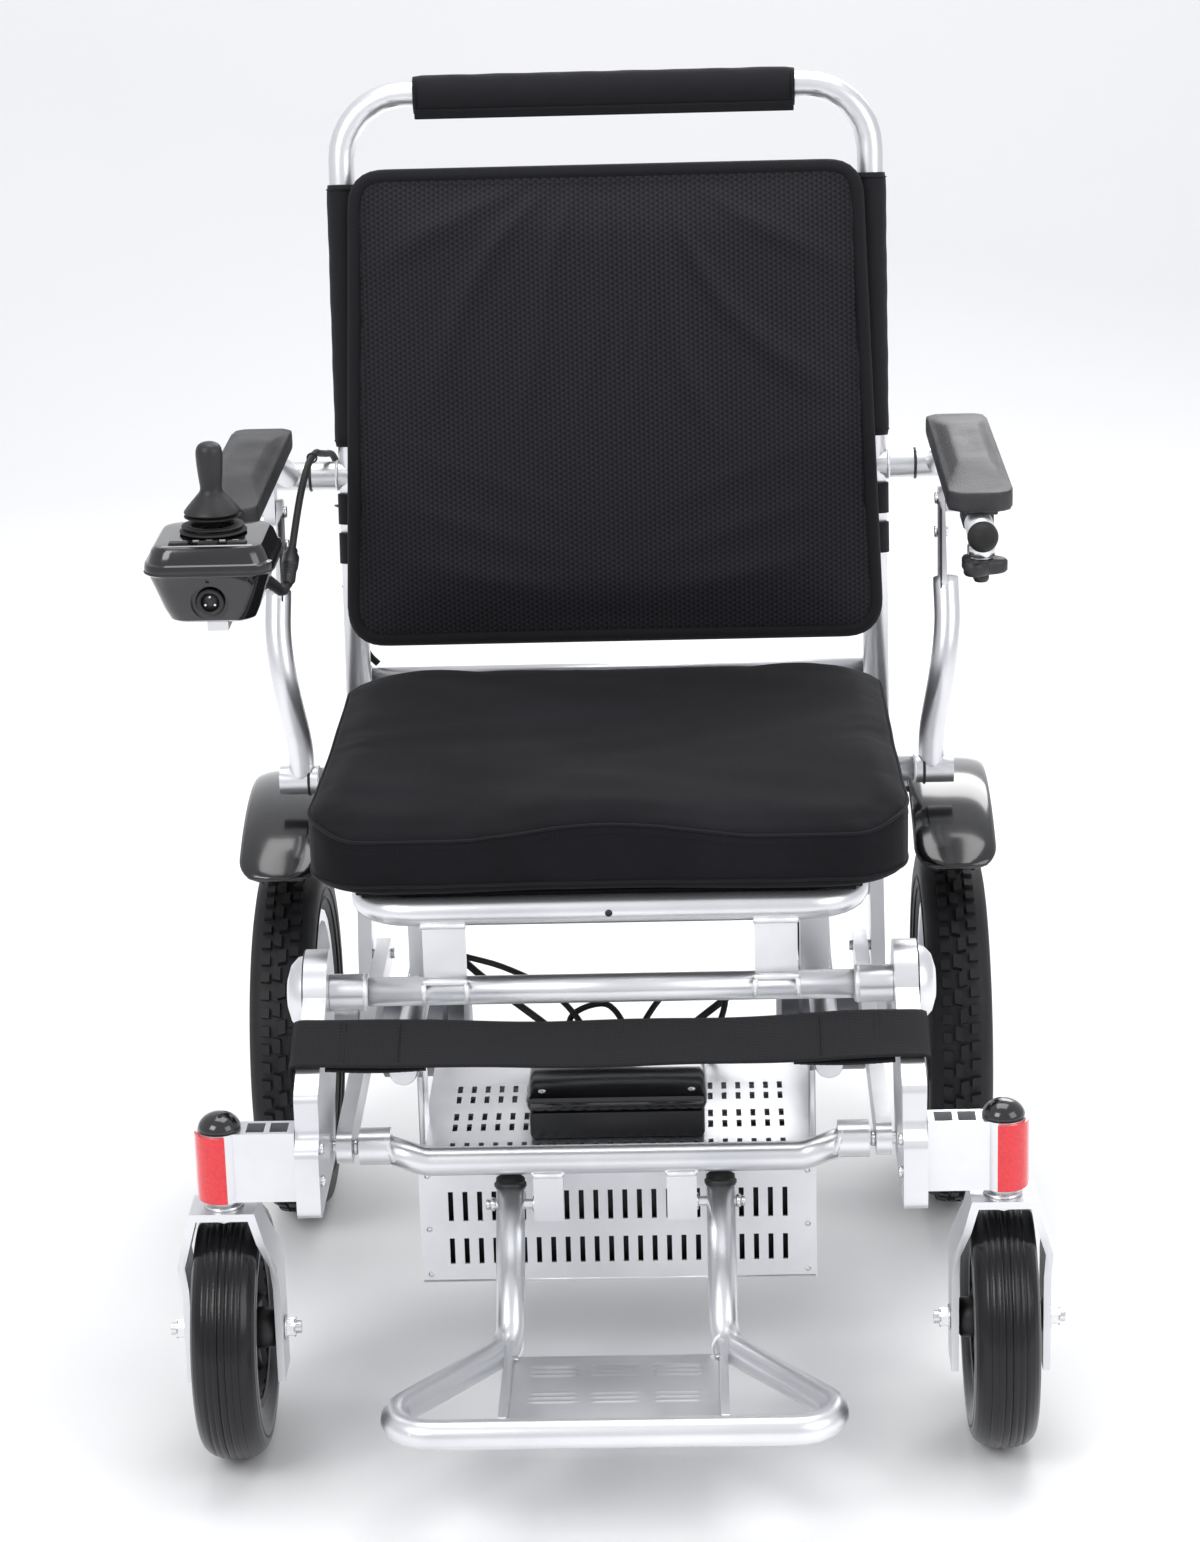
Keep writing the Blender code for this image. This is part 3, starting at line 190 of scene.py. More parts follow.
def bare_metal(name, colour, roughness):
    finish = Finish(name, colour, roughness, 1.0)
    finish.roughness(finish.noise(220, 3, (1, 1, 6)), roughness * 0.7, roughness * 1.5)
    return finish.bump(finish.noise(400, 2), 0.08, 0.0003).material


def weld():
    finish = Finish("weld_bead", (0.86, 0.86, 0.87), 0.45, 0.75)
    return finish.bump(finish.noise(420, 3), 0.5, 0.0010).material


def plastic(name, colour, roughness, grain, depth, coat=0.0):
    finish = Finish(name, colour, roughness, 0.0, Coat_Weight=coat, Coat_Roughness=0.08)
    lighter = tuple(min(1, value * 1.7 + 0.004) for value in colour)
    finish.colours(finish.noise(14, 4), colour, lighter, 0.35, 0.75)
    finish.roughness(finish.noise(35, 4), roughness * 0.8, roughness * 1.25)
    return finish.bump(finish.cells(grain), depth, 0.0006).material


def rubber(name, colour, roughness):
    finish = Finish(name, colour, roughness, 0.0, Sheen_Weight=0.03, Specular_IOR_Level=0.35)
    finish.colours(finish.noise(25, 4), colour, tuple(value * 2.1 for value in colour), 0.35, 0.8)
    finish.roughness(finish.noise(60, 3), roughness * 0.85, min(1, roughness * 1.2))
    return finish.bump(finish.noise(600, 3), 0.25, 0.0004).material


def knit():
    finish = Finish("stretch_knit", (0.004, 0.004, 0.006), 0.80, 0.0, Sheen_Weight=0.04,
        Sheen_Roughness=0.4,
                    Specular_IOR_Level=0.18)
    ribs = finish.waves((1, 0, 0), 0.0011)
    courses = finish.waves((0, 0.8, 0.6), 0.0014)
    loops = finish.maths("MULTIPLY", ribs, courses)
    finish.colours(finish.noise(11, 5), (0.0030, 0.0030, 0.0045), (0.0085, 0.0085, 0.0115), 0.3,
        0.75)
    finish.bump(loops, 0.30, 0.0004)
    return finish.bump(finish.noise(26, 3), 0.10, 0.004).material


def open_mesh():
    """A hexagonal open mesh: three sets of ridges at 60 degrees on the back's own plane, with painted
    shade in its holes.
    """
    finish = Finish("open_mesh", (0.008, 0.008, 0.011), 0.70, 0.0, Sheen_Weight=0.04,
        Specular_IOR_Level=0.22)
    pitch = 0.0040
    total = None
    for number in range(3):
        angle = number * math.pi / 3
        ridge = finish.waves((math.cos(angle), 0, math.sin(angle)), pitch, RECLINE)
        total = ridge if total is None else finish.maths("ADD", total, ridge)
    hole = finish.node("ShaderNodeMapRange",
        {"Value": total, "From Min": 0.9, "From Max": 2.2}).outputs[0]
    # Painted shade: the holes take a far darker colour than the threads; the bump gives the holes
    # their real depth.
    finish.colours(hole, (0.016, 0.016, 0.021), (0.0015, 0.0015, 0.0022))
    finish.bump(hole, -0.8, 0.0016)
    return finish.bump(finish.noise(18, 3), 0.08, 0.004).material


# A weave's second colour, light, is a painted highlight on the raised thread crowns; its first
# colour, in the gaps, is painted shade.
def weave(name, colour, light, across, along, pitch, roughness=0.72):
    finish = Finish(name, colour, roughness, 0.0, Sheen_Weight=0.04, Specular_IOR_Level=0.2)
    first = finish.waves(across, pitch)
    second = finish.waves(along, pitch * 0.8)
    threads = finish.maths("MAXIMUM", first, second)
    # Painted highlight on the thread crowns and painted shade between the threads; the bump is the
    # real weave.
    finish.colours(threads, colour, light)
    finish.bump(threads, 0.45, 0.0006)
    return finish.bump(finish.noise(30, 3), 0.10, 0.003).material


def reflector():
    finish = Finish("red_reflector", (0.72, 0.006, 0.014), 0.16, 0.0, Coat_Weight=0.8,
        Coat_Roughness=0.04)
    prism = finish.cells(420)
    finish.colours(prism, (0.80, 0.008, 0.020), (0.62, 0.004, 0.012), 0.1, 0.9)
    return finish.bump(prism, 0.08, 0.0004).material


ALUMINIUM = aluminium()
STEEL = bare_metal("zinc_steel", (0.78, 0.78, 0.79), 0.24)
DARK_STEEL = bare_metal("motor_grey", (0.30, 0.31, 0.33), 0.42)
WELD = weld()
GLOSS = plastic("gloss_black_plastic", (0.004, 0.004, 0.005), 0.15, 900, 0.03, 0.6)
MATTE = plastic("matte_black_plastic", (0.010, 0.010, 0.011), 0.40, 1500, 0.16)
PAD_SKIN = plastic("grained_pad", (0.018, 0.018, 0.020), 0.48, 850, 0.55)
RUBBER = rubber("black_rubber", (0.007, 0.007, 0.007), 0.58)
TREAD = rubber("tyre_rubber", (0.006, 0.006, 0.007), 0.55)
SLICK = rubber("caster_polyurethane", (0.004, 0.004, 0.005), 0.22)
KNIT = knit()
MESH = open_mesh()
# In each weave below, the lighter second colour is the painted highlight on its threads.
NYLON = weave("woven_nylon", (0.004, 0.004, 0.006), (0.011, 0.011, 0.014), (1, 0, 0), (0, 0.3, 1),
    0.0010)
WEBBING = weave("strap_webbing", (0.005, 0.005, 0.006), (0.015, 0.015, 0.018), (1, 0, 0),
    (0, 1, 0.5), 0.0022)
BINDING = weave("edge_binding", (0.003, 0.003, 0.004), (0.008, 0.008, 0.011), (1, 0, 1), (0, 1, 1),
    0.0012)
RED = reflector()
RED_PLUG = plastic("red_plug", (0.55, 0.02, 0.02), 0.4, 900, 0.1)
GREY_PLUG = plastic("grey_plug", (0.35, 0.35, 0.36), 0.45, 900, 0.1)

SLOT_FINISH = {
    "aluminium": ALUMINIUM, "steel": STEEL, "motor_metal": DARK_STEEL, "gloss_plastic": GLOSS,
    "matte_plastic": MATTE, "pad_skin": PAD_SKIN, "rubber": RUBBER, "tyre": TREAD,
        "caster_tyre": SLICK,
    "knit_fabric": KNIT, "mesh_fabric": MESH, "nylon_fabric": NYLON, "webbing": WEBBING,
        "reflector": RED,
}


def paint_nodes():
    """Every CAD node takes the finish of its own material slot, and smooth shading."""
    for part in frame["record"]["subparts"]:
        obj = frame["nodes"].get(part["node"])
        if obj is None:
            continue
        obj.data.materials.clear()
        obj.data.materials.append(SLOT_FINISH[part["material_slot"]])
        if "custom_normal" in obj.data.attributes:
            obj.data.attributes.remove(obj.data.attributes["custom_normal"])
        for polygon in obj.data.polygons:
            polygon.use_smooth = True
        weld_points = obj.modifiers.new("weld_points", "WELD")
        weld_points.merge_threshold = 0.000005
        edges = obj.modifiers.new("sharp_edges", "EDGE_SPLIT")
        edges.split_angle = math.radians(34)


paint_nodes()


# ---------------------------------------------------------------- making pieces

def piece(obj, finish, body, slot=None, smooth=True):
    """The object joins the scene with its finish and rides on a body."""
    if obj.name not in bpy.context.scene.collection.objects:
        bpy.context.scene.collection.objects.link(obj)
    obj.data.materials.clear()
    obj.data.materials.append(finish)
    if smooth and obj.type == "MESH":
        for polygon in obj.data.polygons:
            polygon.use_smooth = True
    if body is not None:
        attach(obj, body)
    return obj


def mesh_object(name, bm):
    bmesh.ops.recalc_face_normals(bm, faces=bm.faces)
    mesh = bpy.data.meshes.new(name)
    bm.to_mesh(mesh)
    bm.free()
    obj = bpy.data.objects.new(name, mesh)
    bpy.context.scene.collection.objects.link(obj)
    return obj


def rounded(points, radius, steps=8, closed=False):
    """The points with each corner turned into an arc of that radius."""
    points = [Vector(point) for point in points]
    count = len(points)
    path = [] if closed else [points[0]]
    for number in range(0 if closed else 1, count if closed else count - 1):
        corner = points[number]
        before = points[number - 1] - corner
        after = points[(number + 1) % count] - corner
        angle = before.angle(after)
        if abs(angle - math.pi) < 0.02:
            path.append(corner)
            continue
        reach = min(radius / math.tan(angle / 2), before.length * 0.49, after.length * 0.49)
        start = corner + before.normalized() * reach
        end = corner + after.normalized() * reach
        middle = corner + (before.normalized() + after.normalized()).normalized() * (
            reach / math.cos(angle / 2))
        swing = math.pi - angle
        size = reach * math.tan(angle / 2)
        first = (start - middle).normalized()
        last = (end - middle).normalized()
        for step in range(steps + 1):
            share = step / steps
            from_first = first * math.sin((1 - share) * swing)
            from_last = last * math.sin(share * swing)
            blended = (from_first + from_last) / math.sin(swing)
            path.append(middle + blended * size)
    if not closed:
        path.append(points[-1])
    return path


def smooth_path(points, steps=6):
    """A Catmull-Rom line through the points."""
    points = [Vector(point) for point in points]
    padded = [points[0] * 2 - points[1]] + points + [points[-1] * 2 - points[-2]]
    path = []
    for a, b, c, d in zip(padded, padded[1:], padded[2:], padded[3:]):
        for step in range(steps):
            t = step / steps
            path.append(0.5 * ((2 * b) + (c - a) * t + (2 * a - 5 * b + 4 * c - d) * t * t
                               + (3 * b - a - 3 * c + d) * t ** 3))
    path.append(points[-1])
    return path


def sweep(bm, path, section, closed=False, caps=True, radii=None):
    """The section, a list of (u, v), carried along the path with no twist, into bm."""
    count = len(path)
    rings = []
    up = None
    for number, place in enumerate(path):
        ahead = path[(number + 1) % count] if closed or number + 1 < count else place
        behind = path[number - 1] if closed or number > 0 else place
        along = (ahead - behind).normalized()
        if up is None:
            steep = abs(along.x) > 0.9 or abs(along.z) > 0.9
            up = along.orthogonal().normalized() if steep else Vector((1, 0, 0))
        up = (up - along * up.dot(along)).normalized()
        right = along.cross(up)
        scale = 1 if radii is None else radii[number]
        rings.append([bm.verts.new(place + up * u * scale + right * v * scale) for u, v in section])
    pairs = list(zip(rings, rings[1:]))
    if closed:
        pairs.append((rings[-1], rings[0]))
    for low, high in pairs:
        for a in range(len(section)):
            b = (a + 1) % len(section)
            bm.faces.new((low[a], low[b], high[b], high[a]))
    if caps and not closed:
        bm.faces.new(rings[0])
        bm.faces.new(rings[-1][::-1])
    return rings


def circle(radius, sides):
    return [(radius * math.cos(TAU * n / sides),
        radius * math.sin(TAU * n / sides)) for n in range(sides)]


def tube(name, path, radius, finish, body, slot=None, sides=32, closed=False, radii=None):
    bm = bmesh.new()
    sweep(bm, [Vector(p) for p in path], circle(radius, sides), closed, True, radii)
    return piece(mesh_object(name, bm), finish, body, slot)


def turned(name, profile, centre, axis, finish, body, slot=None, steps=48):
    """A profile of (radius, along) turned round an axis through centre; axis is a direction."""
    bm = bmesh.new()
    axis = Vector(axis).normalized()
    side = axis.orthogonal().normalized()
    other = axis.cross(side)
    rings = []
    for radius, along in profile:
        base = Vector(centre) + axis * along
        if radius < 1e-6:
            rings.append([bm.verts.new(base)])
            continue
        rings.append([bm.verts.new(base + (side * math.cos(TAU * n / steps)
                                           + other * math.sin(TAU * n / steps)) * radius)
                      for n in range(steps)])
    for low, high in zip(rings, rings[1:]):
        for a in range(steps):
            b = (a + 1) % steps
            corners = [low[a % len(low)], low[b % len(low)], high[b % len(high)],
                high[a % len(high)]]
            corners = list(dict.fromkeys(corners))
            if len(corners) > 2:
                bm.faces.new(corners)
    return piece(mesh_object(name, bm), finish, body, slot)


def merged(name, parts, finish, body, slot=None):
    """Several objects joined into one piece."""
    bm = bmesh.new()
    for part in parts:
        mesh = part.data
        mesh.transform(part.matrix_world)
        bm.from_mesh(mesh)
        bpy.data.objects.remove(part)
        bpy.data.meshes.remove(mesh)
    return piece(mesh_object(name, bm), finish, body, slot)


def block(name, low, high, bevel=0.0015, segments=3):
    """A bevelled box as a bare object, for merged()."""
    bm = bmesh.new()
    bmesh.ops.create_cube(bm, size=1)
    size = Vector(high) - Vector(low)
    bmesh.ops.scale(bm, vec=[abs(value) for value in size], verts=bm.verts)
    bmesh.ops.translate(bm, vec=(Vector(low) + Vector(high)) / 2, verts=bm.verts)
    bmesh.ops.bevel(bm, geom=bm.edges[:], offset=bevel, segments=segments, affect="EDGES",
        profile=0.5)
    return mesh_object(name, bm)


def bare_rod(name, start, end, radius, sides=32, bevel=0.0):
    """A rod as a bare object, its ends rounded over by bevel."""
    bm = bmesh.new()
    start, end = Vector(start), Vector(end)
    along = (end - start).normalized()
    path = [start, start + along * bevel, end - along * bevel, end] if bevel else [start, end]
    radii = [radius - bevel, radius, radius, radius - bevel] if bevel else [radius, radius]
    side = along.orthogonal().normalized()
    other = along.cross(side)
    rings = []
    for place, size in zip(path, radii):
        rings.append([bm.verts.new(place + (side * math.cos(TAU * n / sides)
                                            + other * math.sin(TAU * n / sides)) * size)
                      for n in range(sides)])
    for low, high in zip(rings, rings[1:]):
        for a in range(sides):
            b = (a + 1) % sides
            bm.faces.new((low[a], low[b], high[b], high[a]))
    bm.faces.new(rings[0])
    bm.faces.new(rings[-1][::-1])
    return mesh_object(name, bm)


def subdivide(obj, levels=1):
    modifier = obj.modifiers.new("subdivision", "SUBSURF")
    modifier.levels = levels
    modifier.render_levels = levels
    return obj


def torus(centre, axis, major, minor, steps=40, sides=8):
    """A ring, such as a weld bead, as a bare object; axis is its direction."""
    bm = bmesh.new()
    axis = Vector(axis).normalized()
    side = axis.orthogonal().normalized()
    other = axis.cross(side)
    path = [Vector(centre)
            + (side * math.cos(TAU * n / steps) + other * math.sin(TAU * n / steps)) * major
            for n in range(steps)]
    sweep(bm, path, circle(minor, sides), closed=True)
    return mesh_object("ring", bm)


def stitches(name, lines, finish, body, slot, radius=0.00045):
    """Short threads along each line of points, one between each pair, as one piece."""
    bm = bmesh.new()
    sides = 5
    for line in lines:
        for a, b in zip(line, line[1:]):
            along = (b - a).normalized()
            side = along.orthogonal().normalized()
            other = along.cross(side)
            rings = []
            for share, size in ((0.10, 0.5), (0.25, 1), (0.62, 1), (0.78, 0.5)):
                base = a.lerp(b, share)
                rings.append([bm.verts.new(base + (side * math.cos(TAU * n / sides)
                                                   + other * math.sin(TAU * n / sides)
                                                   ) * radius * size)
                              for n in range(sides)])
            for low, high in zip(rings, rings[1:]):
                for n in range(sides):
                    bm.faces.new((low[n], low[(n + 1) % sides], high[(n + 1) % sides], high[n]))
            bm.faces.new(rings[0][::-1])
            bm.faces.new(rings[-1])
    return piece(mesh_object(name, bm), finish, body, slot)


# ---------------------------------------------------------------- camera, light, floor

def look(obj, right, up, back, place):
    obj.matrix_world = Matrix((
        (right[0], up[0], back[0], place[0]), (right[1], up[1], back[1], place[1]),
        (right[2], up[2], back[2], place[2]), (0, 0, 0, 1)))


def camera():
    data = bpy.data.cameras.new("photo_camera")
    data.sensor_fit = "VERTICAL"
    data.sensor_height = 36
    data.lens = 86.9
    obj = bpy.data.objects.new("photo_camera", data)
    bpy.context.scene.collection.objects.link(obj)
    back = Vector((0.02762, -0.95312, 0.30137)).normalized()
    right = Vector((0.99943, 0.02044, -0.02696))
    right = (right - back * right.dot(back)).normalized()
    look(obj, right, back.cross(right), back, at(0.074, -3.057, 1.361))
    bpy.context.scene.camera = obj


def softbox(name, place, aim, width, height, power, colour=(1, 1, 1)):
    data = bpy.data.lights.new(name, "AREA")
    data.shape = "RECTANGLE"
    data.size = width
    data.size_y = height
    data.energy = power
    data.color = colour
    obj = bpy.data.objects.new(name, data)
    bpy.context.scene.collection.objects.link(obj)
    obj.location = place
    obj.rotation_euler = (Vector(aim) - Vector(place)).to_track_quat("-Z", "Y").to_euler()


def studio():
    finish = Finish("studio_floor", (0.90, 0.90, 0.90), 0.6)
    finish.colours(finish.noise(1.2, 2), (0.885, 0.885, 0.885), (0.915, 0.915, 0.915))
    bm = bmesh.new()
    profile = [(-4.0, 0), (3.0, 0)]
    profile += [(3.0 + 1.2 * math.sin(a), 1.2 - 1.2 * math.cos(a)) for a in
                [math.pi / 2 * n / 12 for n in range(1, 13)]]
    profile.append((4.2, 5.0))
    rows = [[bm.verts.new((x, y, z)) for x in (-8, 8)] for y, z in profile]
    for low, high in zip(rows, rows[1:]):
        bm.faces.new((low[0], low[1], high[1], high[0]))
    floor = piece(mesh_object("studio_floor", bm), finish.material, None)
    world = bpy.data.worlds.new("soft_white")
    bpy.context.scene.world = world
    world.use_nodes = True
    world.node_tree.nodes["Background"].inputs["Color"].default_value = (0.95, 0.96, 1.0, 1)
    world.node_tree.nodes["Background"].inputs["Strength"].default_value = 0.78
    bpy.context.scene.view_settings.view_transform = "Standard"
    middle = (0, 0, 0.5)
    softbox("key_light", (-1.9, -2.4, 2.7), middle, 1.6, 1.6, 46)
    softbox("fill_light", (2.4, -1.8, 1.9), middle, 1.8, 1.8, 26)
    softbox("top_light", (0.1, 0.4, 3.1), middle, 2.0, 1.6, 34)
    softbox("back_light", (0.8, 2.6, 2.0), middle, 1.6, 1.2, 28)


camera()
studio()


# ---------------------------------------------------------------- frame tubes and welds

def arc_tube(name, points, bend, body, radius=TUBE_R):
    path = rounded([at(*point) for point in points], bend)
    return tube(name, path, radius, ALUMINIUM, body, "aluminium")


def frame_tubes():
    """Smooth drawn tubes over the frame's own, so that no facet shows."""
    x = SEAT_RAIL_X
    front = FRONT_PIVOT[0]
    arc_tube("seat_tube", [(-x, 0.100, SEAT_RAIL_Z), (-x, front, SEAT_RAIL_Z),
        (x, front, SEAT_RAIL_Z),
                           (x, 0.100, SEAT_RAIL_Z)], 0.040, "seat")
    arc_tube("pivot_tube_skin", [(-0.216, *FRONT_PIVOT), (0.216, *FRONT_PIVOT)], 0.01, "seat")
    arc_tube("post_tube_skin", [(-0.253, *POST_PIVOT), (0.253, *POST_PIVOT)], 0.01, "seat", 0.0106)
    top = (back_y(HANDLE_Z), HANDLE_Z)
    low = (back_y(0.391), 0.391)
    arc_tube("back_hoop", [(-BACK_X, *low), (-BACK_X, *top), (BACK_X, *top), (BACK_X, *low)], 0.055,
             "backrest")
    arc_tube("back_brace_skin",
        [(-0.217, back_y(0.45) + 0.018, 0.45), (0.217, back_y(0.45) + 0.018, 0.45)],
             0.01, "backrest", 0.0092)
    y = LINK_FRONT[0]
    arc_tube("crossbar_skin", [(-0.183, *LINK_FRONT), (-0.146, y, 0.2105), (0.146, y, 0.2105),
                               (0.183, *LINK_FRONT)], 0.03, "front_frame")
    rise = Vector((FOOT_PIVOT[0] + 0.478, FOOT_PIVOT[1] - 0.0845)).normalized() * 0.0118
    leg = [(0.0815, FOOT_PIVOT[0] + rise[0], FOOT_PIVOT[1] + rise[1]), (0.0815, -0.478, 0.0845),
           (0.190, -0.627, 0.089)]
    arc_tube("footrest_tube", leg + [(-p, q, r) for p, q, r in leg[::-1]], 0.030, "footrest")
    for name, side in SIDES:
        arc_tube(f"rail_skin_{name}",
            [(side * 0.170, -0.2995, 0.240), (side * 0.170, -0.045, 0.240),
                                       (side * 0.170, 0.019, 0.284)], 0.03, "rear_frame")
        front_y = -0.262 if side < 0 else -0.275
        arc_tube(f"arm_tube_{name}", [(side * 0.2825, *ARM_PIVOT), (side * 0.292, 0.050, 0.6645),
                                      (side * 0.292, front_y - 0.0002, 0.6645)], 0.03,
                                          f"arm_{name}")
        post = [(0.268, POST_PIVOT[0], POST_PIVOT[1] + 0.002), (0.269, -0.036, 0.440),
                (0.276, -0.048, 0.490), (0.281, -0.040, 0.530), (0.281, -0.022, 0.566)]
        tube(f"post_tube_{name}", smooth_path([at(side * p, q, r) for p, q, r in post]), 0.0108,
             ALUMINIUM, f"post_{name}", "aluminium")


def bead(centre, axis, radius, size=0.0024):
    return torus(at(*centre), axis, radius, size)


def welds():
    """White weld beads where tubes meet plates, pins and lugs."""
    seat = []
    front = []
    back = []
    foot = []
    rear = []
    for _, side in SIDES:
        seat.append(bead((side * 0.1895, *FRONT_PIVOT), (1, 0, 0), 0.0125))
        seat.append(bead((side * 0.2545, *POST_PIVOT), (1, 0, 0), 0.0115, 0.0012))
        seat.append(bead((side * 0.2006, *POST_PIVOT), (1, 0, 0), 0.0118))
        for x in (0.111, 0.144):
            run = [at(side * x, -0.381, 0.330 + 0.0003), at(side * x, -0.381, 0.345)]
            seat.append(bare_rod("weld", *run, 0.0022, 12))
        for z, y in ((0.392, -0.3785), (0.346, -0.3785)):
            run = rounded([at(side * 0.110, y, z), at(side * 0.145, y, z)], 0.001)
            seat.append(bare_rod("weld", run[0], run[-1], 0.0026, 12, 0.001))
        front.append(bead((side * 0.1725, *LINK_FRONT), (1, 0, -side * 0.35), 0.0122))
        for x in (0.040, 0.063):
            run = [at(side * x, -0.4185, 0.2015), at(side * x, -0.4015, 0.2015)]
            front.append(bare_rod("weld", *run, 0.0018, 10, 0.0008))
        front.append(bare_rod("weld", at(side * 0.040, -0.4175, 0.2000),
            at(side * 0.063, -0.4175, 0.2000),
                              0.0022, 10, 0.0008))
        back.append(bead((side * 0.2405, *ARM_PIVOT), (1, 0, 0), 0.0118, 0.0016))
        back.append(bead((side * 0.2192, back_y(0.45) + 0.016, 0.45), (1, 0, 0), 0.0100))
        foot.append(bead((side * 0.0815, -0.4810, 0.0850), (0.62, -0.78, 0), 0.0112, 0.0016))
        foot.append(bead((side * 0.0815, -0.6160, 0.0885), (0, 1, 0), 0.0045, 0.0022))
        rear.append(bead((side * 0.2165, 0.020, 0.285), (1, 0, 0), 0.0120))
        for x in (0.153, 0.177):
            run = [at(side * x, -0.110, 0.2505), at(side * x, -0.090, 0.2505)]
            rear.append(bare_rod("weld", *run, 0.0020, 10, 0.0008))
    merged("seat_welds", seat, WELD, "seat", "aluminium")
    merged("front_welds", front, WELD, "front_frame", "aluminium")
    merged("back_welds", back, WELD, "backrest", "aluminium")
    merged("footrest_welds", foot, WELD, "footrest", "aluminium")
    merged("rear_welds", rear, WELD, "rear_frame", "aluminium")


# ---------------------------------------------------------------- wheels

def tyre_blocks(name, side, body):
    """A rounded carcass with a zig-zag centre rib, two rows of blocks and shoulder lugs."""
    centre = at(side * REAR_WHEEL_X, 0, REAR_WHEEL_R)
    profile = [(0.1083, 0.0200), (0.1125, 0.0232), (0.1240, 0.0262), (0.1380, 0.0272),
        (0.1470, 0.0255),
               (0.1520, 0.0205), (0.1540, 0.0120), (0.1545, 0.0)]
    profile += [(radius, -along) for radius, along in profile[-2::-1]]
    carcass = turned("tyre_carcass", profile + [profile[0]], centre, (1, 0, 0), TREAD, None,
        steps=96)
    bm = bmesh.new()
    bm.from_mesh(carcass.data)
    bpy.data.objects.remove(carcass)
    tread_r = REAR_WHEEL_R - 0.0003

    def spot(angle, radius, across):
        return centre + Vector((across, radius * math.sin(angle), radius * math.cos(angle)))

    def lug(angle, width, across, base, top, skew=0.0, slope=0.0):
        """A block over the carcass: width along the tyre, across its (low, high) over the tread."""
        low, high = across
        corners = []
        for radius, shrink in ((base, 1.0), (top, 0.82)):
            middle = (low + high) / 2
            for u, v in ((-1, low), (1, low), (1, high), (-1, high)):
                v = middle + (v - middle) * (0.5 + shrink / 2)
                drop = slope * max(0.0, abs(v) - 0.012)
                turn = angle + (u * width * shrink / 2 + skew * v) / REAR_WHEEL_R
                corners.append(bm.verts.new(spot(turn, radius - drop, v)))
        for face in ((3, 2, 1, 0), (4, 5, 6, 7), (0, 1, 5, 4), (1, 2, 6, 5), (2, 3, 7, 6),
            (3, 0, 4, 7)):
            bm.faces.new([corners[n] for n in face])

    count = 64
    for number in range(count):
        angle = TAU * number / count
        swing = 0.0022 * (-1) ** number
        lug(angle, 0.0142, (swing - 0.0036, swing + 0.0036), 0.1535, tread_r, 0.25 * (-1) ** number)
        for hand in (-1, 1):
            shift = angle + hand * 0.25 * TAU / count
            across = sorted((hand * 0.0078, hand * 0.0158))
            lug(shift, 0.0098, across, 0.1520, tread_r - 0.0004, 0.10 * hand, 0.35)
            across = sorted((hand * 0.0178, hand * 0.0262))
            lug(shift + 0.5 * TAU / count, 0.0092, across, 0.1450, tread_r - 0.0016, 0, 0.95)
    tyre = piece(mesh_object(f"rear_tyre_detail_{name}", bm), TREAD, body, "tyre", smooth=False)
    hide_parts(f"rear_tyre_{name}")
    carcass_faces = 96 * 15
    smallest_smooth = 3.5e-5
    for polygon in tyre.data.polygons:
        polygon.use_smooth = (len(polygon.vertices) == 4 and polygon.area > smallest_smooth
                              and polygon.index < carcass_faces)
    beads = []
    for radius, across in ((0.1265, 0.0268), (0.1180, 0.0252)):
        beads.append(torus(centre + Vector((side * across, 0, 0)), (1, 0, 0), radius, 0.0009, 96,
            6))
        beads.append(torus(centre - Vector((side * across, 0, 0)), (1, 0, 0), radius, 0.0009, 96,
            6))
    merged(f"rear_tyre_beads_{name}", beads, TREAD, body, "tyre")


def rear_wheel(name, side):
    body = f"rear_wheel_{name}"
    tyre_blocks(name, side, body)
    centre = at(side * REAR_WHEEL_X, 0, REAR_WHEEL_R)
    out = Vector((side, 0, 0))
    turned(f"rear_rim_lip_{name}", [
        (0.0985, 0.0222), (0.1000, 0.0228), (0.1075, 0.0228), (0.1084, 0.0218), (0.1084, 0.0150),
        (0.0975, 0.0150), (0.0985, 0.0222)], centre, out, ALUMINIUM, body, "aluminium", 96)
    turned(f"rear_hub_cap_{name}", [
        (0, 0.0368), (0.010, 0.0364), (0.0135, 0.0346), (0.0140, 0.0336), (0, 0.0336)], centre, out,
            MATTE,
        body, "matte_plastic", 40)
    bolts = []
    for number in range(5):
        angle = TAU * (number + 0.5) / 5
        place = centre + Vector((side * 0.0255, 0.022 * math.cos(angle), 0.022 * math.sin(angle)))
        bolts.append(bare_rod("bolt", place, place + out * 0.0052, 0.0032, 6, 0.0006))
    merged(f"rear_hub_bolts_{name}", bolts, STEEL, body, "steel")
    valve = centre + Vector((-side * 0.006, 0.070, 0.071))
    stem = bare_rod(f"valve_{name}", valve, valve + Vector((side * 0.026, -0.012, -0.012)), 0.0026,
        16, 0.0005)
    piece(stem, RUBBER, body, "rubber")


